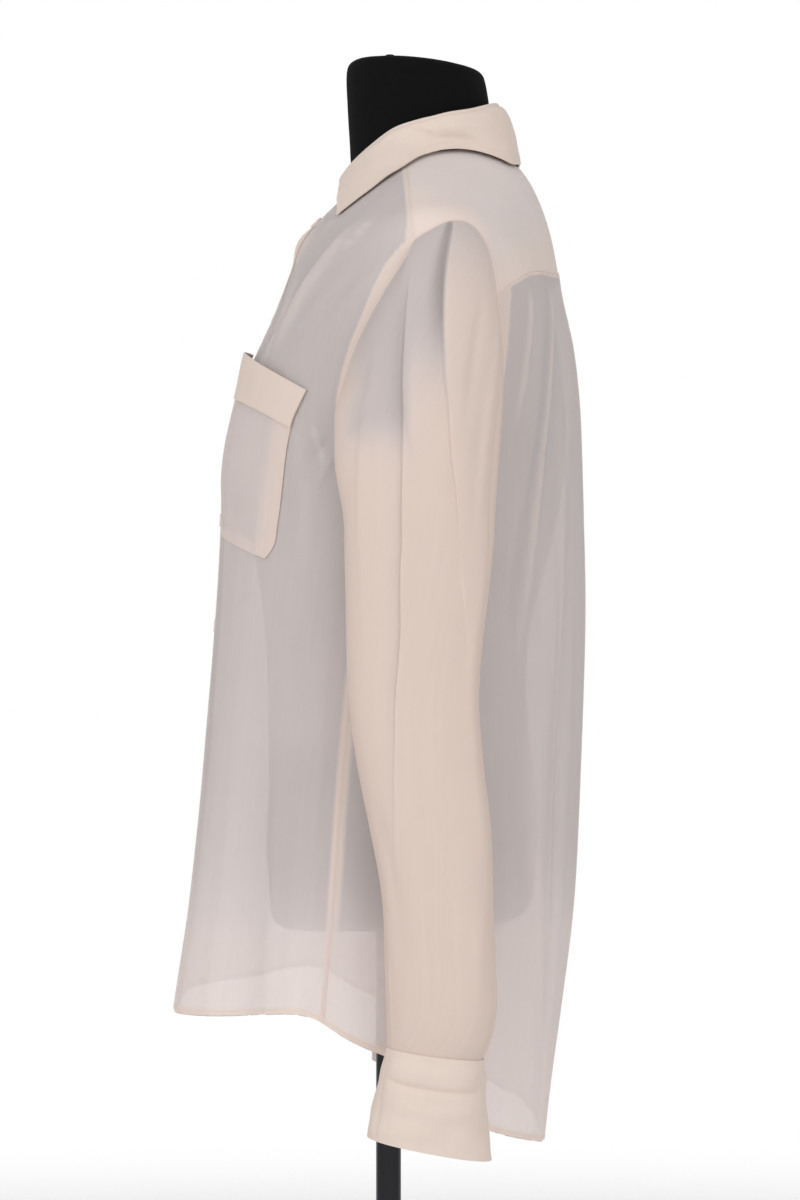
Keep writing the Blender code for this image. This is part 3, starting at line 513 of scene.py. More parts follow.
def evenedTone(group, value, amount):
    # how far a value lies from its middle, times an amount, and the same as a grey tone about 1
    offset = mathNode(group, "MULTIPLY", mathNode(group, "SUBTRACT", value, 0.5), amount)
    grey = mathNode(group, "ADD", offset, 1.0)
    tone = node(group, "ShaderNodeCombineColor", {k: grey for k in ("Red", "Green", "Blue")})
    return offset, tone.outputs[0]


def buildWeave():
    # plain crepe weave: fine crossing threads, pebbly grain and slow streaks along the warp
    group, start, end = newGroup(
        "crepeWeave",
        [("Vector", "Vector", None), ("Thread", "Float", 0.0003), ("Grain", "Float", 0.5),
         ("Streaks", "Float", 0.05)],
        [("Height", "Float"), ("Tone", "Color")],
    )
    split = node(group, "ShaderNodeSeparateXYZ", {"Vector": start.outputs["Vector"]})
    turns = mathNode(group, "DIVIDE", 2 * math.pi, start.outputs["Thread"])
    waves = [mathNode(group, "SINE", mathNode(group, "MULTIPLY", split.outputs[k], turns)) for k in (0, 1)]
    crossing = mathNode(group, "MULTIPLY", *waves)
    pebbles = node(group, "ShaderNodeTexNoise", {
        "Vector": start.outputs["Vector"], "Scale": 750.0, "Detail": 3.0, "Roughness": 0.6,
    })
    grain = mathNode(group, "MULTIPLY", pebbles.outputs["Fac"], start.outputs["Grain"])
    height = mathNode(group, "ADD", mathNode(group, "MULTIPLY", crossing, 0.25), grain)
    group.links.new(height, end.inputs["Height"])
    stretched = node(group, "ShaderNodeMapping", {"Vector": start.outputs["Vector"], "Scale": (260, 9, 1)})
    streak = node(group, "ShaderNodeTexNoise", {
        "Vector": stretched.outputs[0], "Scale": 1.0, "Detail": 2.0, "Roughness": 0.5,
    })
    tone = evenedTone(group, streak.outputs["Fac"], start.outputs["Streaks"])[1]
    group.links.new(tone, end.inputs["Tone"])
    return group


def buildPatches():
    # soft uneven tone and gloss over a surface
    group, start, end = newGroup(
        "softPatches",
        [("Vector", "Vector", None), ("Size", "Float", 0.1), ("Amount", "Float", 0.1)],
        [("Tone", "Color"), ("Amount", "Float")],
    )
    patches = node(group, "ShaderNodeTexNoise", {
        "Vector": start.outputs["Vector"], "Scale": mathNode(group, "DIVIDE", 1.0, start.outputs["Size"]),
        "Detail": 4.0, "Roughness": 0.55,
    })
    offset, tone = evenedTone(group, patches.outputs["Fac"], start.outputs["Amount"])
    group.links.new(tone, end.inputs["Tone"])
    group.links.new(offset, end.inputs["Amount"])
    return group


weaveGroup, patchGroup = buildWeave(), buildPatches()


def tinted(tree, colour, *tones):
    # a colour multiplied by each tone in turn
    value = colour if isinstance(colour, bpy.types.NodeSocket) else (*colour, 1.0)
    for tone in tones:
        value = node(tree, "ShaderNodeMix", {"Factor": 1.0, "A": value, "B": tone},
                     data_type="RGBA", blend_type="MULTIPLY").outputs["Result"]
    return value


def newMaterial(name):
    material = bpy.data.materials.new(name)
    material.use_nodes = True
    material.node_tree.nodes.clear()
    return material, material.node_tree


def coat(tree, shader):
    node(tree, "ShaderNodeOutputMaterial", {"Surface": shader.outputs[0]})


def patchesOver(tree, size, amount):
    # the soft patches laid over the whole object
    place = node(tree, "ShaderNodeTexCoord").outputs["Object"]
    return node(tree, "ShaderNodeGroup", {"Vector": place, "Size": size, "Amount": amount},
                node_tree=patchGroup)


def clothMaterial(name, look):
    # cover is the share of light that one face of the cloth stops, also where it lies in layers and where it
    # is painted lighter; thinner cover paints shade
    material, tree = newMaterial(name)
    weave = node(tree, "ShaderNodeGroup", {
        "Vector": node(tree, "ShaderNodeUVMap", uv_map="clothUv").outputs[0],
        "Thread": look["thread"], "Grain": look["grain"], "Streaks": look["streaks"],
    }, node_tree=weaveGroup)
    patches = patchesOver(tree, look["patchSize"], look["patches"])
    # the layers attribute paints light and shade as well as real layers: above 0 the cloth is thicker and
    # creamier, below 0 it is thinner, as painted shade
    layersAndShade = node(tree, "ShaderNodeAttribute", attribute_name="layersAndShade").outputs["Fac"]
    layersAndShade = node(tree, "ShaderNodeClamp", {"Value": layersAndShade, "Min": -1.0}).outputs[0]
    base = node(tree, "ShaderNodeMix", {
        "Factor": layersAndShade, "A": (*look["colour"], 1), "B": (*look["layeredColour"], 1),
    }, data_type="RGBA").outputs["Result"]
    colour = tinted(tree, base, weave.outputs["Tone"], patches.outputs["Tone"])
    bump = node(tree, "ShaderNodeBump", {
        "Strength": look["bump"], "Distance": 0.0002, "Height": weave.outputs["Height"],
    }).outputs[0]
    shader = node(tree, "ShaderNodeBsdfPrincipled", {
        "Base Color": colour, "Normal": bump,
        "Roughness": mathNode(tree, "ADD", patches.outputs["Amount"], look["roughness"]),
        "Specular IOR Level": look["specular"], "Sheen Weight": look["sheen"], "Sheen Roughness": 0.35,
        "Sheen Tint": (*look["sheenTint"], 1),
    })
    through = node(tree, "ShaderNodeBsdfTranslucent", {"Color": colour, "Normal": bump})
    lit = node(tree, "ShaderNodeMixShader", {
        0: look["translucent"], 1: shader.outputs[0], 2: through.outputs[0],
    })
    if look["cover"] < 1:
        cover = node(tree, "ShaderNodeMapRange", {
            "Value": layersAndShade, "To Min": look["cover"], "To Max": look["layeredCover"],
        }, clamp=False).outputs[0]
        clear = node(tree, "ShaderNodeBsdfTransparent", {"Color": (*look["seen"], 1)})
        lit = node(tree, "ShaderNodeMixShader", {0: cover, 1: clear.outputs[0], 2: lit.outputs[0]})
    coat(tree, lit)
    return material


silk = dict(
    colour=fromScreen(243, 235, 234), layeredColour=fromScreen(246, 233, 225), cover=0.63, layeredCover=0.92,
    translucent=0.36, thread=0.0003, grain=0.8, streaks=0.05, bump=0.25, roughness=0.5, specular=0.35,
    sheen=0.12, sheenTint=fromScreen(246, 236, 232), patches=0.04, patchSize=0.09, seen=(1.0, 0.985, 0.97),
)
doubled = {**silk, "colour": fromScreen(227, 210, 199), "layeredColour": fromScreen(227, 210, 199)}
finishes = dict(
    silk=silk,
    sleeveSilk={**silk, "cover": 0.55, "layeredColour": fromScreen(240, 226, 217)},
    yokeSilk={**silk, "cover": 0.85, "layeredCover": 0.94, "translucent": 0.30},
    seamSilk={**silk, "cover": 0.90, "colour": fromScreen(246, 233, 225)},
    doubleSilk={**doubled, "cover": 1.0, "translucent": 0.12, "roughness": 0.55, "patches": 0.05},
    thread={**doubled, "cover": 1.0, "translucent": 0.0, "bump": 0.0},
)
materials = {name: clothMaterial(name, look) for name, look in finishes.items()}
print("cloth materials made")

# Widths of the seam allowances and hems, where the cloth is turned in and lies double
turnings = dict(
    # along the armhole from the yoke down: share of the way, width
    armhole=[(0.00, 0.0064), (0.04, 0.0108), (0.09, 0.0138), (0.17, 0.0122), (0.26, 0.0096), (0.35, 0.0074),
             (0.48, 0.0056), (0.60, 0.0044), (1.00, 0.0040)],
    # the armhole's strips end and begin again where it meets the yoke, in steps along it
    armholeSteps=220, frontStripEnd=93, backStripStart=128,
    # angles at the ends of the strips along hem and yoke seam, and the gap left at the side seam
    hemEnds=(0.4, 179.6), yokeEnds=(0.5, 179.9), seamGap=0.1,
    armholeStrip=0.0045, sideSeam=0.0036, hem=0.0030, yoke=0.0014, yokeStrip=0.0042, yokeAbove=0.06,
    frontYoke=0.0030, across=5, wall=0.0004, step=0.0016,
    # how much the side seam's turning shows near the hem and over the form, and where it changes
    seamShow=(0.35, 0.95), seamShowZ=(0.600, 0.680),
)
# Below the form the near side looks fuller, from one height to another, and the far side thins out
# above its hem
belowForm = dict(begins=0.632, full=0.612, amount=0.18, farBegins=0.090, farAmount=-0.45, farHem=0.4)

# The two fronts: rows run across from the centre line to the yoke seam, armhole and side seam
frontPanel = dict(columns=96, crowding=0.11, yokeRows=24, armholeRows=46, sideRows=140, join=0.0001)


def sideSeamRows(count):
    level = 6.0 + np.arange(1, count + 1) / count
    z = smoothPoint(sideSeamAt(0.75)[..., 0], level)[..., 2]
    return np.stack([sideSeamAt(z)[..., 0], level], axis=-1)


def frontOuterEdge(panel):
    yoke = along(cutLines["yokeFront"], even(panel["yokeRows"]))
    armhole = along(cutLines["armholeFront"][::-1], even(panel["armholeRows"]))
    return np.concatenate([yoke[:-1], armhole, sideSeamRows(panel["sideRows"])])


def frontGrid(side):
    edge = frontOuterEdge(frontPanel)
    start = angleAt(np.full(len(edge), frontPanel["join"] / 2), edge[:, 1])
    end = insetAngle(edge[:, 0], edge[:, 1], -frontPanel["join"] / 2)
    # the columns stand closer towards the outer edge
    share = even(frontPanel["columns"])
    share = share + frontPanel["crowding"] * np.sin(np.pi * share)
    angle = lerp(start[:, None], end[:, None], share) * side
    return worn(angle, np.repeat(edge[:, 1:2], angle.shape[1], axis=1)), angle


def softFullnessAndShade(grid, angle, hem):
    # the folds' fullness with its painted highlight and shade, with that below the form, and the turned-in
    # hem
    z = grid[..., 2]
    near = belowForm["amount"] * smoothStep(belowForm["begins"], belowForm["full"], z)
    far = belowForm["farAmount"] * smoothStep(belowForm["farBegins"], 0, hem)
    left = np.sin(np.radians(angle)) >= 0
    turned = np.minimum(turnedIn(hem, turnings["hem"]), np.where(left, 1, belowForm["farHem"]))
    return np.maximum(foldsAt(angle, z)[1] + np.where(left, near, far), turned)


def seamEdge(grid, fromSeam, width, onSeam):
    # the turning along armhole and side seam, which fades down the side seam
    show = lerp(*turnings["seamShow"], smoothStep(*turnings["seamShowZ"], grid[..., 2]))
    return np.clip(turnedIn(fromSeam, width), -9, 1) * np.where(onSeam, show, 1.0)


def frontLayersAndShade(grid, angle):
    # where the front is turned in: along the yoke seam and armhole, the side seam and the hem; and the folds'
    # fullness with its painted highlight and shade
    row, armholeEnd = np.arange(len(grid))[:, None], frontPanel["yokeRows"] + frontPanel["armholeRows"]
    shares, widths = np.array(turnings["armhole"]).T
    down = (row - frontPanel["yokeRows"]) / frontPanel["armholeRows"]
    width = np.interp(down, [-0.05, *shares, 1.04], [turnings["frontYoke"], *widths, turnings["sideSeam"]])
    edge = seamEdge(grid, inFromEdge(grid, "right"), width, row > armholeEnd)
    return np.maximum(edge, softFullnessAndShade(grid, angle, inFromEdge(grid, "bottom")))


for label, side in sides.items():
    grid, angle = frontGrid(side)
    clothPiece(label + "Front", grid, "silk", turned=side < 0, layersAndShade=frontLayersAndShade(grid, angle))
print("fronts made")

# The back, cut in one piece: from the armhole and side seam to the centre back and on
backPanel = dict(halfColumns=92, armholeRows=40, sideRows=150, gapLevel=0.002, cornerTurning=0.021,
                 armholeTurning=0.004, cornerShare=0.62)


def backEdges():
    armhole = along(cutLines["armholeBack"], even(backPanel["armholeRows"]))[1:]
    return np.concatenate([armhole, sideSeamRows(backPanel["sideRows"])])


def backPlaces():
    share = even(backPanel["halfColumns"])
    cornerAngle, cornerLevel = cutLines["armholeTop"][-1]
    edge = backEdges()
    topAngle = lerp(cornerAngle, 180.0, share)
    topLevel = levelAt(topAngle, yokeBackAt(topAngle)[..., 0]) + backPanel["gapLevel"]
    start = insetAngle(edge[:, 0], edge[:, 1], frontPanel["join"] / 2)
    angle = lerp(start[:, None], 180.0, share)
    seam = levelAt(angle, yokeBackAt(np.maximum(angle, cornerAngle))[..., 0]) + backPanel["gapLevel"]
    down = edge[:, 1:2] - cornerLevel
    blend = np.minimum(down / (6.0 - cornerLevel), 1.0)
    level = lerp(seam + down * (1 - share), edge[:, 1:2], blend)
    level = np.maximum(level, lerp(seam, edge[:, 1:2], blend))
    level[:, 0] = edge[:, 1]
    return np.concatenate([topAngle[None], angle]), np.concatenate([topLevel[None], level])


def backGrid():
    halfAngle, halfLevel = backPlaces()
    angle = np.concatenate([halfAngle, 360 - halfAngle[:, -2::-1]], axis=1)
    level = np.concatenate([halfLevel, halfLevel[:, -2::-1]], axis=1)
    return worn(angle, level), angle


def backLayersAndShade(grid, angle):
    # turned in along the yoke seam, the armholes, the side seams and the hem, with the folds' painted
    # highlight and shade
    seam = np.minimum(inFromEdge(grid, "left"), inFromEdge(grid, "right"))
    row, armholeEnd = np.arange(len(grid))[:, None], backPanel["armholeRows"]
    narrow = backPanel["armholeTurning"]
    width = np.interp(row, [0, armholeEnd * backPanel["cornerShare"], armholeEnd, armholeEnd + 2],
                      [backPanel["cornerTurning"], narrow, narrow, turnings["sideSeam"]])
    return np.maximum.reduce([
        seamEdge(grid, seam, width, row > armholeEnd), turnedIn(inFromEdge(grid, "top"), turnings["yoke"]),
        softFullnessAndShade(grid, angle, inFromEdge(grid, "bottom")),
    ])


grid, angle = backGrid()
clothPiece("backPanel", grid, "silk", layersAndShade=backLayersAndShade(grid, angle))
print("back made")

# The yoke: two layers of cloth over both shoulders, from the neck to the seams
yokePanel = dict(
    topColumns=36, backColumns=52, depth=40, gapLevel=0.003, wall=0.0009, bowShare=0.18,
    # how full it looks: over the form, towards its outer edge, where it is painted lighter as light that
    # reaches it from inside the blouse, and along the front from a share of the way down
    base=0.32, edgeFrom=0.2, edgeWide=4.0, edgeFade=(0.02, 0.30),
    frontFade=(0.02, 0.15), frontDown=(0.35, 0.75),
)


def yokeGrid():
    cornerAngle = cutLines["armholeTop"][-1][0]
    top = along(cutLines["armholeTop"], even(yokePanel["topColumns"]))
    backAngle = lerp(cornerAngle, 180.0, even(yokePanel["backColumns"]))[1:]
    backLevel = levelAt(backAngle, yokeBackAt(backAngle)[..., 0])
    outer = np.concatenate([top, np.stack([backAngle, backLevel], axis=-1)])
    share = even(len(outer) - 1)
    down = even(yokePanel["depth"])[:, None]
    level = down * (outer[:, 1] - yokePanel["gapLevel"])
    neckAngle = lerp(cutLines["yokeFront"][0][0], 180.0, share)
    angle = lerp(neckAngle, outer[:, 0], down)
    bow = yokeFrontAt(level[:, 0])[:, 0] - angle[:, 0]
    angle = angle + bow[:, None] * smoothStep(yokePanel["bowShare"], 0.0, share)
    angle[:, 0] = insetAngle(angle[:, 0], level[:, 0], frontPanel["join"] / 2)
    halfGrid = worn(angle, level)
    halfGrid[:, -1, 0] = 0.0
    # where the cloth stands away from the form it is painted lighter and fuller, as light from inside the
    # blouse
    edge = np.minimum((1 - down) * (outer[:, 1] - yokePanel["edgeFrom"]) / yokePanel["edgeWide"], 1.0)
    front = 1 - smoothStep(*yokePanel["frontFade"], share)
    front = front * smoothStep(*yokePanel["frontDown"], down)
    foldedAndLit = np.maximum(1 - smoothStep(*yokePanel["edgeFade"], edge), front)
    foldedAndLit = lerp(yokePanel["base"], 1.0, foldedAndLit)
    return wholeFromHalf(halfGrid), np.concatenate([foldedAndLit, foldedAndLit[:, -2::-1]], axis=1)


grid, foldedAndLit = yokeGrid()
clothPiece("shoulderYoke", grid, "yokeSilk", yokePanel["wall"], layersAndShade=foldedAndLit)
print("yoke made")

# Button placket down the front, over both edges; it looks fuller towards the neck
placketBand = dict(width=0.030, columns=16, wall=0.0008, full=(0.25, 0.8), fullZ=(1.085, 1.125))


def placketGrid():
    edge = frontOuterEdge(frontPanel)
    x = np.linspace(-0.5, 0.5, placketBand["columns"] + 1) * placketBand["width"]
    level = np.repeat(edge[:, 1:2], len(x), axis=1)
    return worn(angleAt(x[None, :], level), level, cloth["lay"] + placketBand["wall"])


grid = placketGrid()
fullness = lerp(*placketBand["full"], smoothStep(*placketBand["fullZ"], grid[..., 2]))
clothPiece("buttonPlacket", grid, "yokeSilk", placketBand["wall"], layersAndShade=fullness)
print("placket made")

# Collar: a stand up to the fold line, and a leaf that rolls over it and turns down
collar = dict(
    foldLine=(0.0625, -0.0345, 0.0825, 0.030, 1.1795, 1.2195, 1.2365, 2.0),
    # angle, edge level, lift
    leaf=[(45, 1.68, 0.0024), (53, 1.54, 0.0025), (60.5, 1.37, 0.0028), (68, 1.15, 0.0032),
          (75, 0.95, 0.0036), (83, 0.68, 0.0038), (91.5, 0.40, 0.0037), (105, 0.17, 0.0036),
          (117.5, 0.15, 0.0036), (128.5, 0.27, 0.0036), (137, 0.43, 0.0034), (145, 0.60, 0.0032),
          (152, 0.70, 0.0030), (165, 0.66, 0.0028), (180, 0.60, 0.0028)],
    # how far the fold line lies below an even sweep
    drop=[(0, 0.0), (25, 0.0016), (49, 0.0044), (66, 0.0044), (81, 0.0048), (106, 0.0008), (131, 0.0020),
          (158, 0.0030), (180, 0.0030)],
    topAngle=9.0, columns=96, depth=34, standRows=14, wall=0.0011,
    rollOut=0.0017, roll=0.0024, rollRows=10, tuckedIn=0.003, tuckedRows=3, rise=0.0006,
    shoulder=(0.0035, 0.0095),
    # the leaf's slow unevenness, and its depth for the creases
    swells=dict(size=(0.018, 0.014), height=0.0009, seed=11.0), swellsDown=(0.35, 0.6), leafDepth=0.045,
    # creases across the leaf: share of the way round and down at each end, width, height
    creases=[(0.39, 0.52, 0.47, 0.90, 0.0026, -0.0012), (0.42, 0.83, 0.68, 0.93, 0.0022, -0.0011),
             (0.40, 0.66, 0.66, 0.76, 0.0036, 0.0009),
             (0.22, 0.62, 0.36, 0.44, 0.0030, 0.0006), (0.70, 0.45, 0.90, 0.70, 0.0030, 0.0006)],
)
leafAt, dropAt = tableCurve(collar["leaf"]), tableCurve(collar["drop"])


def foldPoint(angle):
    section = np.broadcast_to(np.array(collar["foldLine"]), np.shape(angle) + (8,))
    point = ringPoint(section, angle)
    point[..., 2] -= dropAt(angle)[..., 0]
    return point


def standGrid():
    angle = lerp(0.0, 180.0, even(collar["columns"]))
    foot, fold = worn(angle, np.zeros_like(angle)), foldPoint(angle)
    foot[:, 2] += collar["rise"]
    half = lerp(fold, foot, even(collar["standRows"])[:, None, None])
    half[:, [0, -1], 0] = 0.0
    return wholeFromHalf(half)


def leafGrid():
    share = even(collar["columns"])
    fold = foldPoint(lerp(collar["topAngle"], 180.0, share))
    edgeAngle = lerp(collar["leaf"][0][0], 180.0, share)
    edgeLevel, edgeLift = np.moveaxis(leafAt(edgeAngle), -1, 0)
    out = fold - np.array([0, collar["foldLine"][3], 0])
    out[:, 2] = 0
    out, up = unit(out), np.array([0.0, 0.0, 1.0])
    start = fold + out * collar["rollOut"]
    shoulder = start + out * lerp(*collar["shoulder"], share)[:, None]
    end = worn(edgeAngle, edgeLevel, edgeLift)
    f = even(collar["depth"])[:, None, None]
    turned = lerp(lerp(start, shoulder, f), lerp(shoulder, end, f), f)
    centre = fold + out * (collar["rollOut"] - collar["roll"])
    theta = np.linspace(math.pi, 0, collar["rollRows"] + 1)[:-1, None, None]
    rolled = centre + (out * np.cos(theta) + up * np.sin(theta)) * collar["roll"]
    tucked = rolled[:1] - up * np.linspace(collar["tuckedIn"], 0, collar["tuckedRows"] + 1)[:-1, None, None]
    half = np.concatenate([tucked, rolled, turned])
    half[:, -1, 0] = 0.0
    return wholeFromHalf(half)


def creasedLeaf(grid):
    down = even(len(grid) - 1)[:, None]
    around = 1 - np.abs(np.linspace(-1, 1, grid.shape[1]))[None, :]
    lift = rumple(grid, **collar["swells"]) * smoothStep(*collar["swellsDown"], down)
    for startRound, startDown, endRound, endDown, width, height in collar["creases"]:
        f = np.clip((around - startRound) / (endRound - startRound), 0, 1)
        away = (down - lerp(startDown, endDown, f)) * collar["leafDepth"]
        ends = smoothStep(0, 0.3, f) * smoothStep(1, 0.7, f)
        lift = lift + height * ends * np.exp(-(away / width) ** 2)
    return grid + gridNormals(grid, False) * lift[..., None]


clothPiece("collarStand", standGrid(), "doubleSilk", collar["wall"])
clothPiece("collarLeaf", creasedLeaf(leafGrid()), "doubleSilk", collar["wall"])
print("collar made")

# Breast pocket on the wearer's left, with a wide band: share of the way down, angle at the inner and
# outer side, height at the inner and outer side, how far each side stands off
pocketPatch = dict(
    rows=[(0.00, 10.0, 56.6, 1.0425, 1.0100, 0.0088, 0.0002),
          (0.22, 11.5, 53.2, 1.0120, 0.9855, 0.0034, 0.0004),
          (0.50, 13.0, 52.4, 0.9700, 0.9500, 0.0042, 0.0004),
          (0.66, 13.0, 51.6, 0.9460, 0.9290, 0.0034, 0.0004),
          (0.80, 13.0, 50.8, 0.9290, 0.9120, 0.0010, 0.0004),
          (0.90, 13.2, 50.2, 0.9170, 0.8990, 0.0004, 0.0003),
          (1.00, 16.0, 47.0, 0.9080, 0.8890, 0.0002, 0.0002)],
    arch=0.0042, archShares=(0.70, 0.24), swells=dict(size=(0.030, 0.045), height=0.0012, seed=5.0),
    bandShare=0.24, columns=56, depth=72, bandRows=22, bandWall=0.0008,
    # shares of the way across and down between which it begins to stand off, and to look uneven
    gapes=(-0.04, 0.14), unevenTop=(0.25, 0.4), unevenBottom=(1, 0.85),
    # how full it looks in the middle, at the outer side and at the turned-in edges
    soft=0.10, outer=0.75, outerFade=(0.030, 0.010), turned=0.55, turnedFade=(0.012, 0.006),
)
pocketAt = tableCurve(pocketPatch["rows"])


def pocketGrid(share, lift):
    share, across = np.broadcast_arrays(share[:, None], even(pocketPatch["columns"])[None, :])
    inner, outer, innerZ, outerZ, innerLift, outerLift = np.moveaxis(pocketAt(share), -1, 0)
    angle = lerp(inner, outer, across)
    arch = pocketPatch["arch"] * 4 * across * (1 - across) * smoothStep(*pocketPatch["archShares"], share)
    z = lerp(innerZ + arch, outerZ + arch, across)
    gape = lerp(innerLift, outerLift, across) * smoothStep(*pocketPatch["gapes"], across)
    flat = np.stack([smoothPoint(angle, 5.0)[..., 0], np.zeros_like(z), z], axis=-1)
    calm = smoothStep(*pocketPatch["unevenTop"], share) * smoothStep(*pocketPatch["unevenBottom"], share)
    calm = calm * 4 * across * (1 - across)
    return worn(angle, levelAt(angle, z), gape + lift + rumple(flat, **pocketPatch["swells"]) * calm)


def pocketLayers(grid):
    outer = smoothStep(*pocketPatch["outerFade"], inFromEdge(grid, "right"))
    edge = np.minimum(inFromEdge(grid, "left"), inFromEdge(grid, "bottom"))
    turned = smoothStep(*pocketPatch["turnedFade"], edge)
    return np.maximum(outer * pocketPatch["outer"], turned * pocketPatch["turned"]) + pocketPatch["soft"]


pocketLift = cloth["lay"] + cloth["wall"]
grid = pocketGrid(even(pocketPatch["depth"]), pocketLift)
clothPiece("breastPocket", grid, "silk", layersAndShade=pocketLayers(grid))
bandShares = even(pocketPatch["bandRows"]) * pocketPatch["bandShare"]
grid = pocketGrid(bandShares, pocketLift + cloth["lay"] + pocketPatch["bandWall"])
clothPiece("pocketBand", grid, "doubleSilk", pocketPatch["bandWall"])
print("pocket made")

# Sleeves: rings from the armhole to the cuff. z, front, back, inner side, outer side, how the back rises
sleeveShape = dict(
    rings=[(0.900, -0.0302, 0.0745, 0.1790, 0.2500, 0.00), (0.860, -0.0290, 0.0705, 0.1800, 0.2500, 0.00),
           (0.825, -0.0286, 0.0662, 0.1815, 0.2490, 0.00), (0.789, -0.0272, 0.0636, 0.1830, 0.2490, 0.00),
           (0.746, -0.0209, 0.0664, 0.1850, 0.2500, 0.00), (0.697, -0.0117, 0.0720, 0.1885, 0.2525, 0.00),
           (0.648, -0.0033, 0.0741, 0.1915, 0.2545, 0.00), (0.605, -0.0010, 0.0750, 0.1935, 0.2560, 0.00),
           (0.575, -0.0004, 0.0752, 0.1945, 0.2560, -0.06), (0.555, 0.0000, 0.0715, 0.1955, 0.2545, -0.10),
           (0.5400, 0.0003, 0.0655, 0.1965, 0.2515, -0.14)],
    capZ=0.900, capShare=7 / 19, capRows=60, lowerRows=150, columns=168, underarmEase=0.004, roundness=2.35,
    # the cloth leaves the armhole outwards, backwards and upwards, under the arm and at its top
    leave=((0.80, 0.93), 0.30, (-0.6, -0.36)), start=(0.00102, 0.0003), pull=(0.75, 0.9),
    swells=dict(size=(0.03, 0.10), height=0.0012), calmEnds=(0.10, 0.985),
    underarmFold=dict(height=0.0080, turn=0.245, width=0.085, top=(1.014, 0.988), bottom=(0.905, 0.962)),
    # the columns stand closer at the homes of the rear and front pleats, and follow them within a spread
    homes=(0.535, 0.462), closer=4.5, closerWidth=0.011, spread=0.012, still=(0.12, 0.92),
    # the girth that turns are measured on, and how soft the pleats' edges are: in front of them, and
    # before and behind the line where they lap
    girth=0.29, edge=0.0011, lapEdge=0.0009, lapBack=0.0045,
    # a pleat's gap opens from this share of its width at the top, and is full this share of the way down;
    # it ends just past the pleat's edge
    gapOpens=0.4, gapFull=0.14, gapEdge=0.0004,
    # heights between which the cloth looks full: behind the rear pleat up to a turn, behind the front
    # pleat, all round, and along the front side
    rearFull=(1.155, 1.055), rearEnds=0.9, middleFull=(1.062, 0.975), middleSoft=0.02, lowFull=(0.992, 0.950),
    frontFull=(1.050, 1.000), frontTurn=0.235, frontWidth=0.075,
    # pleats: the path of its edge (share of the way down, and turn: a share of the way round from the inner
    # side over the front, 0.25, and the outer side, 0.5), height, width of its back, how far its edge laps
    # over, width and depth of the gap in front of it, how much painted shade thins the cloth in the gap, and
    # the shares of the way down at which pleat and gap begin, are full, begin to fade and end
    pleats=[dict(path=[(0.0, 0.4860), (0.044, 0.4832), (0.099, 0.4866), (0.144, 0.4948), (0.178, 0.5030),
                       (0.204, 0.5113), (0.240, 0.5270), (0.278, 0.5437), (0.310, 0.5620), (0.348, 0.5762),
                       (0.392, 0.5845), (0.43, 0.602), (0.49, 0.630), (0.56, 0.66)],
                 height=0.0050, back=0.015, lap=0.0022, gapWidth=0.0054, gapDepth=0.0016, thin=0.62,
                 runs=(-0.01, 0.05, 0.16, 0.55), gapRuns=(-0.02, 0.02, 0.11, 0.245)),
            dict(path=[(0.04, 0.421), (0.061, 0.4225), (0.098, 0.4262), (0.126, 0.4305), (0.174, 0.4399),
                       (0.203, 0.4455), (0.239, 0.4560), (0.282, 0.4659), (0.325, 0.4715), (0.368, 0.4745),
                       (0.40, 0.4725), (0.44, 0.4735), (0.491, 0.4765), (0.583, 0.463), (0.659, 0.437),
                       (0.722, 0.408), (0.80, 0.366), (0.88, 0.348)],
                 height=0.0023, back=0.022, lap=0.0005, gapWidth=0.0090, gapDepth=0.0012, thin=0.30,
                 runs=(0.08, 0.20, 0.42, 0.80), gapRuns=(0.06, 0.16, 0.50, 0.80))],
    # creases: turn at the top and bottom, width on its front and back side in shares of a turn, share of
    # the way down at its top and bottom, height
    creases=[(0.350, 0.372, 0.010, 0.020, 0.10, 0.55, 0.0012),
             (0.560, 0.552, 0.014, 0.016, 0.08, 0.34, -0.0014),
             (0.640, 0.620, 0.016, 0.020, 0.04, 0.50, 0.0016),
             (0.690, 0.662, 0.012, 0.020, 0.10, 0.60, -0.0014),
             (0.660, 0.650, 0.030, 0.036, 0.25, 0.98, 0.0026),
             (0.520, 0.515, 0.022, 0.026, 0.66, 0.98, -0.0016),
             (0.350, 0.400, 0.028, 0.030, 0.66, 0.99, -0.0014),
             (0.590, 0.600, 0.020, 0.024, 0.72, 0.98, 0.0014),
             (0.930, 0.930, 0.060, 0.060, 0.20, 0.95, -0.0060),
             (0.395, 0.402, 0.010, 0.012, 0.88, 1.00, 0.0006),
             (0.430, 0.436, 0.009, 0.011, 0.86, 1.00, 0.0007),
             (0.462, 0.466, 0.008, 0.009, 0.90, 1.00, -0.0006),
             (0.492, 0.494, 0.009, 0.012, 0.87, 1.00, 0.0006),
             (0.552, 0.548, 0.010, 0.012, 0.91, 1.00, -0.0005),
             (0.640, 0.600, 0.014, 0.018, 0.80, 0.99, 0.0014),
             (0.310, 0.322, 0.012, 0.014, 0.87, 1.00, 0.0007),
             (0.715, 0.690, 0.010, 0.012, 0.85, 1.00, -0.0010),
             (0.790, 0.780, 0.012, 0.014, 0.84, 1.00, 0.0016),
             (0.200, 0.206, 0.014, 0.014, 0.86, 1.00, -0.0014),
             (0.120, 0.120, 0.014, 0.014, 0.86, 1.00, 0.0012)],
)
sleeveAt = tableCurve(sleeveShape["rings"])


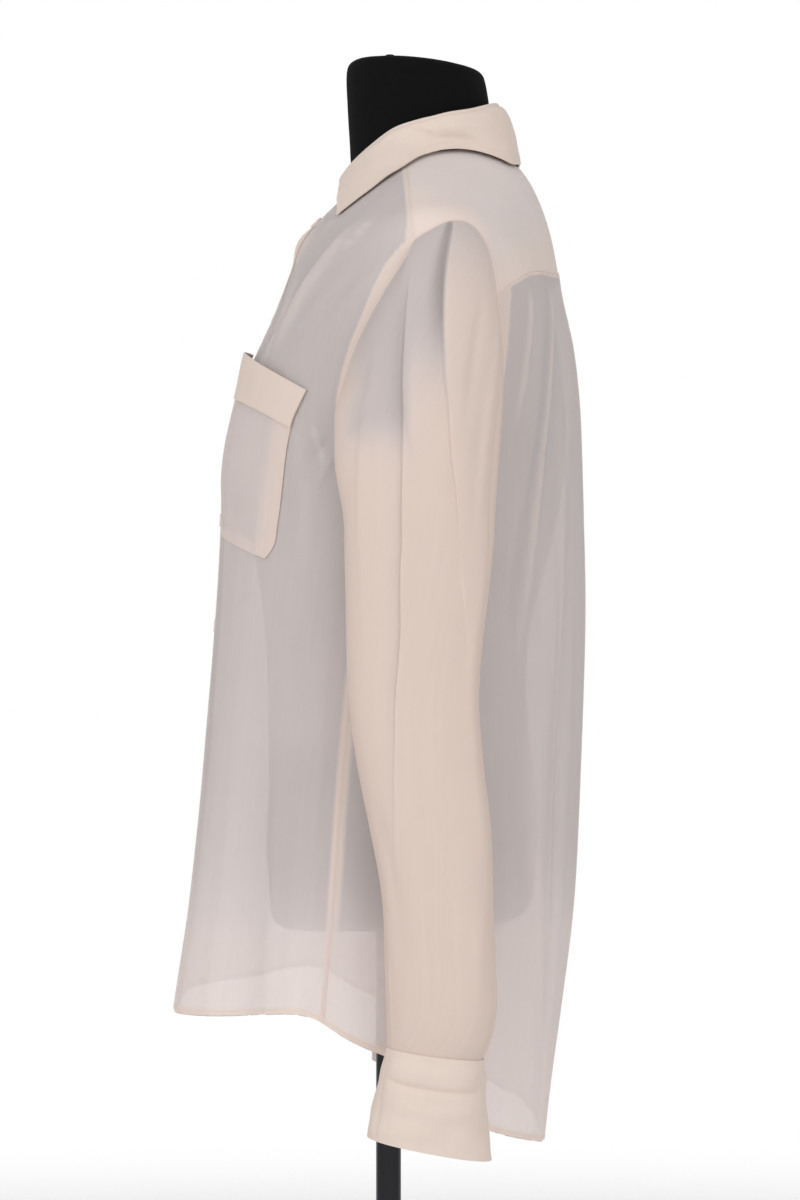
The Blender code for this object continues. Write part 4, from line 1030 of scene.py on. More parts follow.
def superellipse(rows, turn, z):
    front, back, inner, outer, tilt = np.moveaxis(rows, -1, 0)
    angle, power = 2 * math.pi * turn, 2 / sleeveShape["roundness"]
    x = (inner + outer) / 2 - (outer - inner) / 2 * signedPower(np.cos(angle), power)
    y = (front + back) / 2 - (back - front) / 2 * signedPower(np.sin(angle), power)
    return np.stack(np.broadcast_arrays(x, y, z + tilt * (y - (front + back) / 2)), axis=-1)


for pleat in sleeveShape["pleats"]:
    pleat["turnAt"] = tableCurve(pleat["path"])


def pleatTurn(pleat, share):
    return pleat["turnAt"](share)[..., 0]


def between(share, runs):
    # 0 outside a run, 1 within it, with soft ends
    begins, full, fades, ends = runs
    return smoothStep(begins, full, share) * smoothStep(ends, fades, share)


def sleeveTurns(share):
    # the columns' turns on each row
    fine, homes, spread = np.linspace(0, 1, 8001), sleeveShape["homes"], sleeveShape["spread"]
    weight = 1 + sum(sleeveShape["closer"] * np.exp(-((fine - home) / sleeveShape["closerWidth"]) ** 2)
                     for home in homes)
    reach = np.concatenate([[0], np.cumsum((weight[1:] + weight[:-1]) / 2)])
    base = np.interp(np.arange(sleeveShape["columns"]) / sleeveShape["columns"] * reach[-1], reach, fine)
    rear, front = [pleatTurn(pleat, share) for pleat in sleeveShape["pleats"]]
    (rearHome, frontHome), (low, high) = homes, sleeveShape["still"]

    def knots(a, b, room):
        return [0.0, low, a - spread, a + room, b - room, b + spread, high, 1.0]

    home = knots(frontHome, rearHome, spread)
    return np.array([np.interp(base, home, knots(a, b, min(spread, (b - a) / 2.2)))
                     for a, b in zip(front, rear)])


def bump(away, before, after):
    # 1 on a line, falling to 0 over one width before it and another after it
    return np.exp(-(away / np.where(away < 0, before, after)) ** 2)


def pleatFold(turn, share):
    # how far the pleats lift the cloth and carry it forward over their edges, and the painted shade in their
    # gaps
    lift, lap, thin = np.zeros_like(turn), np.zeros_like(turn), np.zeros_like(turn)
    for pleat in sleeveShape["pleats"]:
        fade, gapFade = between(share, pleat["runs"]), between(share, pleat["gapRuns"])
        away = (turn - pleatTurn(pleat, share)) * sleeveShape["girth"]
        lift += pleat["height"] * fade * bump(away, sleeveShape["edge"], pleat["back"])
        lap += pleat["lap"] * fade * bump(away, sleeveShape["lapEdge"], sleeveShape["lapBack"])
        opened = lerp(sleeveShape["gapOpens"], 1.0, smoothStep(0.0, sleeveShape["gapFull"], share))
        gap = np.exp(-(np.minimum(away, 0) / (pleat["gapWidth"] * opened)) ** 2)
        gap = gapFade * gap * (away < sleeveShape["gapEdge"])
        lift -= pleat["gapDepth"] * gap * (away < 0)
        thin += pleat["thin"] * gap
    return lift, lap, thin


def creaseHeight(turn, share, side):
    total = np.zeros(np.broadcast(turn, share).shape)
    for k, crease in enumerate(sleeveShape["creases"]):
        top, bottom, frontWidth, backWidth, topShare, bottomShare, height = crease
        drift = 0.0 if side > 0 else 0.012 * math.sin(5.0 * k)
        f = (share - topShare) / (bottomShare - topShare)
        fade = smoothStep(0, 0.25, f) * (1 - smoothStep(0.35, 1, f) if bottomShare < 1 else 1)
        shape = bump(turn - lerp(top, bottom, f) - drift, frontWidth, backWidth)
        total = total + np.where((f >= 0) & (f <= 1), height * fade * shape, 0)
    return total


def sleeveCap(turns):
    # the cap runs from the armhole to a ring below the underarm
    fine = even(1600)
    places = along(armholeLoop, fine)
    start = pickAlong(turns, fine, worn(places[:, 0], places[:, 1]))
    end = superellipse(sleeveAt(np.full(turns.shape, sleeveShape["capZ"])), turns, sleeveShape["capZ"])
    top = (1 - np.cos(2 * math.pi * turns)) / 2
    out, back, up = sleeveShape["leave"]
    leave = unit(np.stack([lerp(*out, top), -back * np.sin(2 * math.pi * turns), lerp(*up, top)], axis=-1))
    reach = np.linalg.norm(end - start, axis=-1, keepdims=True)
    begin = start + leave * lerp(*sleeveShape["start"], top)[..., None]
    f = even(sleeveShape["capRows"])[:, None, None]
    leavePull, endPull = sleeveShape["pull"]
    cap = hermite(begin, end, leave * reach * leavePull, np.array([0, 0, -endPull]) * reach, f)
    cap[..., 0] += sleeveShape["underarmEase"] * (1 - top) * 4 * f[..., 0] * (1 - f[..., 0])
    return cap


def sleeveGrid(side):
    capShare = even(sleeveShape["capRows"]) * sleeveShape["capShare"]
    lowerShare = lerp(sleeveShape["capShare"], 1.0, even(sleeveShape["lowerRows"])[1:])
    share = np.concatenate([capShare, lowerShare])
    turns = sleeveTurns(share)
    z = np.linspace(sleeveShape["capZ"], sleeveShape["rings"][-1][0], sleeveShape["lowerRows"] + 1)[1:, None]
    z = np.repeat(z, sleeveShape["columns"], axis=1)
    lower = superellipse(sleeveAt(z), turns[len(capShare):], z)
    rings = np.concatenate([sleeveCap(turns[: len(capShare)]), lower])
    # a soft fold hangs forward under the arm
    fold = sleeveShape["underarmFold"]
    hangs = smoothStep(*fold["top"], rings[..., 2]) * smoothStep(*fold["bottom"], rings[..., 2])
    rings[..., 1] -= fold["height"] * hangs * np.exp(-((turns - fold["turn"]) / fold["width"]) ** 2)
    # pleats and creases move each ring out from its middle
    share = share[:, None]
    out = rings - (rings.max(axis=1, keepdims=True) + rings.min(axis=1, keepdims=True)) / 2
    out[..., 2] = 0
    forward = unit(np.roll(rings, 1, axis=1) - np.roll(rings, -1, axis=1))
    lift, lap, thin = pleatFold(turns, share)
    uneven = rumple(rings, seed=17.0 + 5 * side, **sleeveShape["swells"])
    calmTop, calmBottom = sleeveShape["calmEnds"]
    settled = smoothStep(0, calmTop, share) * smoothStep(1.0, calmBottom, share)
    rise = lift + (creaseHeight(turns, share, side) + uneven) * settled
    return rings + unit(out) * rise[..., None] + forward * lap[..., None], turns, share, thin


def sleeveLayersAndShade(grid, turns, share, thin):
    # the pleats hold hidden layers of cloth, lower down the sleeve lies over its own far side, and painted
    # shade thins the cloth in the pleats' gaps
    rearDown, middleDown, low, frontDown = [smoothStep(*sleeveShape[key], grid[..., 2])
                                            for key in ("rearFull", "middleFull", "lowFull", "frontFull")]
    rearPleat, frontPleat = [pleatTurn(pleat, share) for pleat in sleeveShape["pleats"]]
    behind = turns < sleeveShape["rearEnds"]
    rear = (turns > rearPleat) * behind * rearDown
    middle = smoothStep(frontPleat, frontPleat + sleeveShape["middleSoft"], turns) * middleDown * behind
    front = np.exp(-((turns - sleeveShape["frontTurn"]) / sleeveShape["frontWidth"]) ** 2) * frontDown
    return np.clip(np.maximum.reduce([rear, middle, low, front]), 0, 1) - thin


def forSide(grid, side):
    # a grid made for the left, for either side; its columns turned round so that its faces look out
    return (grid if side > 0 else flipped(grid))[:, ::-1]


for label, side in sides.items():
    grid, turns, share, thin = sleeveGrid(side)
    clothPiece(label + "Sleeve", forSide(grid, side), "sleeveSilk", closedRound=True, turned=side < 0,
               layersAndShade=sleeveLayersAndShade(grid, turns, share, thin)[:, ::-1])
print("sleeves made")

# Cuffs: interfaced, with one end lapped over the other on the inner side
cuffShape = dict(
    rings=[(0.5416, 0.0011, 0.0647, 0.1973, 0.2507, -0.14),
           (0.5382, 0.0005, 0.0652, 0.1967, 0.2512, -0.14),
           (0.5150, -0.0050, 0.0668, 0.1950, 0.2530, -0.15),
           (0.4950, -0.0095, 0.0682, 0.1940, 0.2540, -0.18),
           (0.4750, -0.0125, 0.0700, 0.1935, 0.2545, -0.20)],
    lap=28.0, lapRise=0.00221, lapTurn=-0.08, columns=150, rows=48, wall=0.0012,
    swells=dict(size=(0.020, 0.016), height=0.0016), calmEnds=(0.1, 0.88), creaseArch=0.05,
    # creases: share of the way round and down at each end, width, height
    creases=[(0.36, 0.30, 0.72, 0.30, 0.040, -0.0018), (0.34, 0.13, 0.72, 0.14, 0.080, 0.0010),
             (0.36, 0.40, 0.40, 0.95, 0.30, -0.0010), (0.45, 0.56, 0.66, 0.50, 0.070, 0.0008),
             (0.02, 0.35, 0.30, 0.42, 0.050, -0.0012)],
)
cuffAt = tableCurve(cuffShape["rings"])


def cuffPoint(share, z):
    share, z = np.broadcast_arrays(np.asarray(share, float), np.asarray(z, float))
    whole = 1 + cuffShape["lap"] / 360
    rows = cuffAt(z)
    point = superellipse(rows, cuffShape["lapTurn"] + share * whole, z)
    front, back, inner, outer, _ = np.moveaxis(rows, -1, 0)
    out = unit(point - np.stack([(inner + outer) / 2, (front + back) / 2, point[..., 2]], axis=-1))
    return point + out * (cuffShape["lapRise"] * share * whole)[..., None], out


def cuffGrid(side):
    share, down = even(cuffShape["columns"])[None, :], even(cuffShape["rows"])[:, None]
    z = np.linspace(cuffShape["rings"][0][0], cuffShape["rings"][-1][0], cuffShape["rows"] + 1)[:, None]
    points, out = cuffPoint(share, z)
    lift = rumple(points, seed=23.0 + 4 * side, **cuffShape["swells"])
    for startShare, startDown, endShare, endDown, width, height in cuffShape["creases"]:
        f = (share - startShare) / (endShare - startShare)
        path = lerp(startDown, endDown, f) + cuffShape["creaseArch"] * np.sin(np.pi * np.clip(f, 0, 1))
        ends = smoothStep(0, 0.2, f) * smoothStep(1, 0.8, f)
        lift = lift + height * ends * np.exp(-((down - path) / width) ** 2)
    calmTop, calmBottom = cuffShape["calmEnds"]
    lift = lift * smoothStep(0, calmTop, down) * smoothStep(1, calmBottom, down)
    return points + out * lift[..., None]


for label, side in sides.items():
    clothPiece(label + "Cuff", forSide(cuffGrid(side), side), "doubleSilk", cuffShape["wall"],
               turned=side < 0)
print("cuffs made")

# Turnings and seam allowances: narrow strips on the inside of the cloth, seen through it
def addStrips(name, line, width, aside, behind=None):
    # a strip beside a line of places on the cloth, to one side of it, on the wearer's left and right
    angle, level = line.T
    point, normal = smoothPoint(angle, level), smoothNormal(angle, level)
    aside = np.cross(normal, unit(np.gradient(point, axis=0))) * aside * width
    targets = point + aside * even(turnings["across"])[:, None, None]
    places, levels = placeOf(targets, np.repeat(angle[None], len(targets), axis=0))
    places[0], levels[0] = angle, level
    grid = worn(places, levels, -(behind or cloth["wall"]) - cloth["lay"])
    if (gridNormals(grid, False) * smoothNormal(places, levels)).sum() < 0:
        grid = grid[:, ::-1]
    clothPiece(name + "Left", grid, "seamSilk", turnings["wall"])
    clothPiece(name + "Right", flipped(grid), "seamSilk", turnings["wall"], turned=True)


def hemLine(startAngle, endAngle, count):
    angle = np.linspace(startAngle, endAngle, count)
    return np.stack([angle, np.full(count, 7.0)], axis=-1)


loopLine = along(armholeLoop, even(turnings["armholeSteps"]))
addStrips("armholeTurningFront", loopLine[:turnings["frontStripEnd"]], turnings["armholeStrip"], 1)
addStrips("armholeTurningBack", loopLine[turnings["backStripStart"]:-1], turnings["armholeStrip"], 1)
sideLine = np.concatenate([[cutLines["armholeFront"][0]], sideSeamRows(120)])
addStrips("sideSeamTurning", sideLine, turnings["sideSeam"], -1)
seamStart, seamEnd = turnings["yokeEnds"]
seamAngles = np.linspace(cutLines["armholeTop"][-1][0] + seamStart, seamEnd, 90)
seamLevels = levelAt(seamAngles, yokeBackAt(seamAngles)[..., 0]) - turnings["yokeAbove"]
yokeLine = np.stack([seamAngles, seamLevels], axis=-1)
addStrips("yokeTurning", yokeLine, turnings["yokeStrip"], -1, yokePanel["wall"])
hemStart, hemEnd = turnings["hemEnds"]
frontHem = hemLine(hemStart, sideLine[-1, 0] - turnings["seamGap"], 90)
backHem = hemLine(sideLine[-1, 0] + turnings["seamGap"], hemEnd, 120)
addStrips("frontHemTurning", frontHem, turnings["hem"], -1)
addStrips("backHemTurning", backHem, turnings["hem"], -1)
print("turnings made")

# Buttons: a raised rim, a dished middle and four holes sewn through
button = dict(
    radius=0.0053, thickness=0.0018, spacing=0.080, count=7, firstLevel=0.80,
    cuffShare=0.955, cuffRise=0.0012,
    # radius and height, as shares, from the middle of the front round to the middle of the back
    profile=[(0.0, 0.66), (0.30, 0.66), (0.52, 0.70), (0.64, 0.82), (0.76, 0.97), (0.86, 1.0), (0.94, 0.93),
             (0.99, 0.72), (1.0, 0.50), (0.97, 0.25), (0.88, 0.06), (0.70, 0.0), (0.0, 0.0)],
    holeOut=0.0011, holeRadius=0.00048, steps=40, sharp=35,
    # the thread in the holes, and the wound thread that the button stands on
    threadRadius=0.00026, threadRise=0.00032, shank=0.0009, shankRadius=0.0008, cuffShank=0.0002,
)


def turnedMesh(profile, steps):
    # points and faces of a shape turned about the Z axis, from the top of its axis down to the bottom
    points, faces = [(0, 0, profile[0][1])], []
    for r, z in profile[1:-1]:
        for k in range(steps):
            a = 2 * math.pi * k / steps
            points.append((r * math.cos(a), r * math.sin(a), z))
    points.append((0, 0, profile[-1][1]))
    last = len(points) - 1
    for k in range(steps):
        after = (k + 1) % steps
        faces.append((0, 1 + k, 1 + after))
        for j in range(len(profile) - 3):
            a, b = 1 + j * steps + k, 1 + j * steps + after
            faces.append((a, a + steps, b + steps, b))
        faces.append((last, last - steps + after, last - steps + k))
    return points, faces


def plainMesh(obj, name):
    # the finished mesh of an object with its modifiers made real
    graph = bpy.context.evaluated_depsgraph_get()
    mesh = bpy.data.meshes.new_from_object(obj.evaluated_get(graph))
    mesh.name = name
    return mesh


def joined(shapes):
    # the points and faces of several shapes as one
    points, faces = [], []
    for morePoints, moreFaces in shapes:
        start = len(points)
        points += [tuple(p) for p in morePoints]
        faces += [tuple(start + i for i in face) for face in moreFaces]
    return points, faces


def holeCutter(angle):
    deep, radius, out = button["thickness"], button["holeRadius"], button["holeOut"]
    points, faces = turnedMesh([(0, deep), (radius, deep), (radius, -deep * 0.2), (0, -deep * 0.2)], 10)
    return [(x + out * math.cos(angle), y + out * math.sin(angle), z) for x, y, z in points], faces


def buttonMesh():
    profile = [(r * button["radius"], h * button["thickness"]) for r, h in button["profile"]]
    blank = addMesh("buttonBlank", *turnedMesh(profile, button["steps"]))
    drill = addMesh("buttonDrill", *joined(holeCutter(math.pi / 4 + k * math.pi / 2) for k in range(4)))
    cut = blank.modifiers.new("holes", "BOOLEAN")
    cut.operation, cut.solver, cut.object = "DIFFERENCE", "EXACT", drill
    mesh = plainMesh(blank, "buttonShape")
    mesh.materials.clear()
    for obj in (blank, drill):
        bpy.data.objects.remove(obj)
    return mesh


def threadMesh():
    # two small bars of thread that cross the middle of the button, and the wound thread under it
    points, faces, around, steps = [], [], 6, 8
    reach, radius = button["holeOut"] / math.sqrt(2), button["threadRadius"]
    for x in (-reach, reach):
        base = len(points)
        for j in range(steps + 1):
            f = j / steps
            y = lerp(-reach, reach, f)
            z = button["thickness"] * 0.60 + math.sin(math.pi * f) * button["threadRise"]
            for k in range(around):
                a = 2 * math.pi * k / around
                points.append((x + radius * math.cos(a), y, z + radius * math.sin(a)))
        for j in range(steps):
            for k in range(around):
                a, b = base + j * around + k, base + j * around + (k + 1) % around
                faces.append((a, a + around, b + around, b))
        faces.append(tuple(base + k for k in range(around)))
        faces.append(tuple(base + steps * around + k for k in reversed(range(around))))
    wound, top, foot = button["shankRadius"], 0.0002, -button["shank"]
    return joined([(points, faces), turnedMesh([(0, top), (wound, top), (wound, foot), (0, foot)], 8)])


pearl = dict(colour=fromScreen(232, 220, 208), roughness=0.26, uneven=0.6, patchSize=0.004, patches=0.22,
             coat=0.4, coatRoughness=0.12, specular=0.6)


def pearlMaterial():
    material, tree = newMaterial("pearlButton")
    patches = patchesOver(tree, pearl["patchSize"], pearl["patches"])
    uneven = mathNode(tree, "MULTIPLY", patches.outputs["Amount"], pearl["uneven"])
    coat(tree, node(tree, "ShaderNodeBsdfPrincipled", {
        "Base Color": tinted(tree, pearl["colour"], patches.outputs["Tone"]),
        "Roughness": mathNode(tree, "ADD", uneven, pearl["roughness"]),
        "Coat Weight": pearl["coat"], "Coat Roughness": pearl["coatRoughness"],
        "Specular IOR Level": pearl["specular"],
    }))
    return material


materials["pearl"] = pearlMaterial()


def buttonSeats():
    # each button's name, its place on the cloth and the way that it faces
    levels, gone, level, step = [button["firstLevel"]], 0.0, button["firstLevel"], 0.005
    while len(levels) < button["count"]:
        gone += float(np.linalg.norm(worn(0.0, level + step) - worn(0.0, level)))
        level += step
        if gone >= button["spacing"]:
            levels.append(level)
            gone = 0.0
    lift = cloth["lay"] + placketBand["wall"]
    seats = [(f"button_{k + 1}", worn(0.0, v, lift), smoothNormal(0.0, v)) for k, v in enumerate(levels)]
    z = (cuffShape["rings"][0][0] + cuffShape["rings"][-1][0]) / 2
    share = button["cuffShare"]
    across = cuffPoint(share + 0.01, z)[0] - cuffPoint(share - 0.01, z)[0]
    down = cuffPoint(share, z - 0.003)[0] - cuffPoint(share, z + 0.003)[0]
    out = unit(np.cross(down, across))
    seat = cuffPoint(share, z)[0] + out * button["cuffRise"]
    return seats + [("cuff_button_left", seat, out), ("cuff_button_right", flipped(seat), flipped(out))]


buttonShape, (threadPoints, threadFaces) = buttonMesh(), threadMesh()
buttons, sewnThread = {}, []  # each button's object, by its solid's name
for part, seat, out in buttonSeats():
    turn = Vector(out).to_track_quat("Z", "Y").to_matrix().to_4x4()
    turn.translation = Vector(seat + out * button["cuffShank" if "cuff" in part else "shank"])
    shape = buttonShape.copy()
    shape.transform(turn)
    first, *others = part.split("_")
    piece = addObject(first + "".join(word.capitalize() for word in others) + "Pearl", shape)
    buttons[part] = finished(piece, "pearl", button["sharp"])
    sewnThread.append(([turn @ Vector(p) for p in threadPoints], threadFaces))
buttonThread = finished(addMesh("buttonThread", *joined(sewnThread)), "thread")
buttonThread.data.uv_layers.new(name="clothUv")
print("buttons made")

# The dress form: half width, front, back, middle, z at front, side and back, roundness, top to bottom
dressForm = dict(
    rings=[(0.0420, -0.0160, 0.0600, 0.020, 1.2660, 1.2660, 1.2660, 2.0),
           (0.0500, -0.0265, 0.0700, 0.020, 1.2632, 1.2632, 1.2632, 2.1),
           (0.0525, -0.0318, 0.0738, 0.020, 1.2550, 1.2550, 1.2550, 2.1),
           (0.0525, -0.0310, 0.0770, 0.022, 1.2300, 1.2300, 1.2300, 2.1),
           (0.0540, -0.0290, 0.0778, 0.023, 1.1950, 1.2050, 1.2120, 2.0),
           (0.0580, -0.0285, 0.0780, 0.023, 1.1590, 1.1870, 1.2010, 1.95),
           (0.0920, -0.0485, 0.0965, 0.026, 1.1365, 1.1695, 1.1735, 1.80),
           (0.1400, -0.0650, 0.1130, 0.030, 1.1100, 1.1475, 1.1320, 1.85),
           (0.1770, -0.0770, 0.1230, 0.032, 1.0790, 1.1215, 1.0800, 1.95),
           (0.1800, -0.0900, 0.1285, 0.030, 1.0480, 1.0840, 1.0480, 2.1),
           (0.1680, -0.1030, 0.1330, 0.024, 1.0080, 1.0280, 1.0080, 2.15),
           (0.1580, -0.1110, 0.1340, 0.018, 0.9700, 0.9700, 0.9700, 2.2),
           (0.1500, -0.1090, 0.1300, 0.014, 0.9300, 0.9300, 0.9300, 2.15),
           (0.1370, -0.1000, 0.1190, 0.012, 0.8850, 0.8850, 0.8850, 2.1),
           (0.1270, -0.0943, 0.1080, 0.012, 0.8400, 0.8400, 0.8400, 2.1),
           (0.1250, -0.0920, 0.1040, 0.012, 0.8050, 0.8050, 0.8050, 2.1),
           (0.1330, -0.0912, 0.1060, 0.011, 0.7600, 0.7600, 0.7600, 2.1),
           (0.1480, -0.0908, 0.1110, 0.010, 0.7150, 0.7150, 0.7150, 2.15),
           (0.1580, -0.0925, 0.1130, 0.010, 0.6750, 0.6750, 0.6750, 2.2),
           (0.1600, -0.0905, 0.1110, 0.009, 0.6450, 0.6450, 0.6450, 2.2),
           (0.1560, -0.0885, 0.1060, 0.009, 0.6210, 0.6280, 0.6280, 2.2),
           (0.1460, -0.0810, 0.0960, 0.009, 0.6130, 0.6200, 0.6200, 2.2)],
    columns=240, rowsEach=5, sharp=60, capRise=0.0012, capRings=8,
    # the neck's top leans: how much, about which y, and the heights where that begins and is full
    neckTilt=0.095, tiltY=0.02, tiltZ=(1.225, 1.262),
    # sewn seams: angles, depth, width, and the rings between which they begin and end
    seams=(0, 38, 90, 142, 180, 218, 270, 322), seamDepth=0.0005, seamWidth=1.3,
    seamRings=((4.2, 5.2), (21, 20)),
    # the small knob on the neck's cap: radius and height from the top of its axis down
    knob=dict(y=0.0010, topZ=1.2672, steps=28, profile=[
        (0, 0.0046), (0.00264, 0.00437), (0.00408, 0.003312), (0.0048, 0.00161), (0.0048, -0.0030),
        (0, -0.0030)]),
)


def formMesh():
    rings = dressForm["rings"]
    curve = tableCurve([(k, *ring) for k, ring in enumerate(rings)])
    at = np.linspace(0, len(rings) - 1, (len(rings) - 1) * dressForm["rowsEach"] + 1)
    columns = dressForm["columns"]
    angle = 360 * np.arange(columns) / columns
    section = np.repeat(curve(at)[:, None], columns, axis=1)
    grid = ringPoint(section, angle[None])
    # sewn seams lie in fine grooves
    groove = sum(np.exp(-(((angle - seam + 180) % 360 - 180) / dressForm["seamWidth"]) ** 2)
                 for seam in dressForm["seams"])
    inward = grid.mean(axis=1, keepdims=True) - grid
    inward[..., 2] = 0
    begins, ends = dressForm["seamRings"]
    fade = smoothStep(*begins, at)[:, None] * smoothStep(*ends, at)[:, None]
    grid = grid + unit(inward) * (groove[None] * fade * dressForm["seamDepth"])[..., None]
    capCentre = grid[:1].mean(axis=1, keepdims=True)
    shrink = np.linspace(0, 1, dressForm["capRings"] + 1)[1:-1, None, None]
    cap = lerp(capCentre, grid[:1], shrink)
    cap[..., 2] += dressForm["capRise"] * (1 - shrink[..., 0] ** 2)
    foot = lerp(grid[-1:], grid[-1:].mean(axis=1, keepdims=True), shrink)
    body = np.concatenate([cap, grid, foot])
    tilt = dressForm["neckTilt"] * smoothStep(*dressForm["tiltZ"], body[..., 2])
    body[..., 2] -= tilt * (body[..., 1] - dressForm["tiltY"])
    points = np.concatenate([body.reshape(-1, 3), body[:1].mean(axis=1), body[-1:].mean(axis=1)])
    points[-2, 2] = body[0, :, 2].mean() + 0.0001
    rows = len(body)
    faces = shellFaces(rows, columns, True, False)[: (rows - 1) * columns].tolist()
    top, foot = rows * columns, rows * columns + 1
    for k in range(columns):
        after = (k + 1) % columns
        faces.append((top, k, after))
        faces.append((foot, (rows - 1) * columns + after, (rows - 1) * columns + k))
    return points, faces


jersey = dict(colour=(0.0045, 0.0045, 0.0052), ribs=420.0, loop=0.0009, bump=0.3, roughness=0.9,
              specular=0.08, patchSize=0.05, patches=0.5)


def jerseyMaterial():
    # ribs run round the form, crossed by small loops
    material, tree = newMaterial("blackJersey")
    place = node(tree, "ShaderNodeTexCoord").outputs["Object"]
    split = node(tree, "ShaderNodeSeparateXYZ", {"Vector": place})
    around = mathNode(tree, "ARCTAN2", split.outputs["Y"], split.outputs["X"])
    ribs = mathNode(tree, "SINE", mathNode(tree, "MULTIPLY", around, jersey["ribs"]))
    rise = mathNode(tree, "MULTIPLY", split.outputs["Z"], 2 * math.pi / jersey["loop"])
    knit = mathNode(tree, "MULTIPLY", ribs, mathNode(tree, "SINE", rise))
    bump = node(tree, "ShaderNodeBump", {"Strength": jersey["bump"], "Distance": 0.0002, "Height": knit})
    patches = patchesOver(tree, jersey["patchSize"], jersey["patches"])
    coat(tree, node(tree, "ShaderNodeBsdfPrincipled", {
        "Base Color": tinted(tree, jersey["colour"], patches.outputs["Tone"]), "Normal": bump.outputs[0],
        "Roughness": jersey["roughness"], "Specular IOR Level": jersey["specular"],
    }))
    return material


materials["jersey"] = jerseyMaterial()
finished(addMesh("dressFormBody", *formMesh()), "jersey", dressForm["sharp"])
knob = dressForm["knob"]
knobZ = knob["topZ"] - dressForm["neckTilt"] * (knob["y"] - dressForm["tiltY"])
knobPoints, knobFaces = turnedMesh(knob["profile"], knob["steps"])
finished(addMesh("neckKnob", np.array(knobPoints) + (0, knob["y"], knobZ), knobFaces), "jersey")
print("dress form made")

# The stand: a pole in a hub on a round weighted base. Radius and height from the top of the axis down
stand = dict(
    poleRadius=0.0095, poleTop=0.6197, poleBottom=0.0403, poleSteps=72, baseSteps=96, sharp=40,
    poleRings=(0.60, 0.06, 10),  # the first and last height, and how many
    base=[(0, 0.040), (0.0175, 0.040), (0.0200, 0.0392), (0.0215, 0.0375), (0.0220, 0.035),
          (0.0220, 0.0215), (0.0232, 0.0188), (0.0262, 0.0168), (0.0320, 0.0155), (0.060, 0.0141),
          (0.090, 0.0125), (0.125, 0.0111), (0.1440, 0.0102), (0.1475, 0.0096), (0.1494, 0.0082),
          (0.1500, 0.0065), (0.1500, 0.0012), (0.1497, 0.0004), (0.1490, 0.0), (0, 0.0)],
)


poleLook = dict(colour=(0.035, 0.035, 0.039), roughness=0.24, patchSize=0.03, patches=0.12)
baseLook = dict(colour=(0.03, 0.03, 0.033), roughness=0.34, patchSize=0.02, patches=0.12)


def metalMaterial(name, look):
    material, tree = newMaterial(name)
    patches = patchesOver(tree, look["patchSize"], look["patches"])
    coat(tree, node(tree, "ShaderNodeBsdfPrincipled", {
        "Base Color": tinted(tree, look["colour"], patches.outputs["Tone"]), "Metallic": 1.0,
        "Roughness": mathNode(tree, "ADD", patches.outputs["Amount"], look["roughness"]),
    }))
    return material


materials["poleMetal"] = metalMaterial("blackPoleMetal", poleLook)
materials["baseMetal"] = metalMaterial("blackBaseMetal", baseLook)
poleZ = [stand["poleTop"], *np.linspace(*stand["poleRings"]), stand["poleBottom"]]
poleProfile = [(0, poleZ[0]), *[(stand["poleRadius"], z) for z in poleZ], (0, poleZ[-1])]
polePiece = addMesh("standPoleMetal", *turnedMesh(poleProfile, stand["poleSteps"]))
basePiece = addMesh("standBaseMetal", *turnedMesh(stand["base"], stand["baseSteps"]))
finished(polePiece, "poleMetal", stand["sharp"])
finished(basePiece, "baseMetal", stand["sharp"])
print("stand made")

# Topstitching, by a node tree that lays small stitches along paths on the cloth
stitch = dict(
    pitch=0.0023, length=0.0017, radius=0.00017, lift=0.00006,
    # how far in from the edge each piece is sewn, and how much of the row's ends is left off
    collar=0.0055, collarEnds=(0.005, 0.005), leafEnds=(0.012, 0.0055), placket=0.005, yoke=0.0015,
    cuff=0.0045, cuffEnds=(0.0045, 0.0045), pocket=0.0016,
)


def buildStitchTree():
    tree = bpy.data.node_groups.new("stitchesAlongPaths", "GeometryNodeTree")
    tree.is_modifier = True
    tree.interface.new_socket("Geometry", in_out="INPUT", socket_type="NodeSocketGeometry")
    for label, kind, value in (("Pitch", "NodeSocketFloat", stitch["pitch"]),
                               ("Length", "NodeSocketFloat", stitch["length"]),
                               ("Radius", "NodeSocketFloat", stitch["radius"]),
                               ("Thread", "NodeSocketMaterial", None)):
        socket = tree.interface.new_socket(label, in_out="INPUT", socket_type=kind)
        if value is not None:
            socket.default_value = value
    tree.interface.new_socket("Geometry", in_out="OUTPUT", socket_type="NodeSocketGeometry")
    start, end = node(tree, "NodeGroupInput"), node(tree, "NodeGroupOutput")
    curve = node(tree, "GeometryNodeMeshToCurve", {"Mesh": start.outputs["Geometry"]})
    spots = node(tree, "GeometryNodeCurveToPoints", {
        "Curve": curve.outputs["Curve"], "Length": start.outputs["Pitch"]}, mode="LENGTH")
    bead = node(tree, "GeometryNodeMeshIcoSphere", {"Radius": 1.0, "Subdivisions": 1})
    half = mathNode(tree, "MULTIPLY", start.outputs["Length"], 0.5)
    size = node(tree, "ShaderNodeCombineXYZ", {
        "X": start.outputs["Radius"], "Y": start.outputs["Radius"], "Z": half})
    placed = node(tree, "GeometryNodeInstanceOnPoints", {
        "Points": spots.outputs["Points"], "Instance": bead.outputs["Mesh"],
        "Rotation": spots.outputs["Rotation"], "Scale": size.outputs[0]})
    whole = node(tree, "GeometryNodeRealizeInstances", {"Geometry": placed.outputs["Instances"]})
    dressed = node(tree, "GeometryNodeSetMaterial", {
        "Geometry": whole.outputs["Geometry"], "Material": start.outputs["Thread"]})
    tree.links.new(dressed.outputs["Geometry"], end.inputs["Geometry"])
    return tree


stitchTree = buildStitchTree()
stitchInputs = {item.name: item.identifier for item in stitchTree.interface.items_tree
                if item.in_out == "INPUT"}


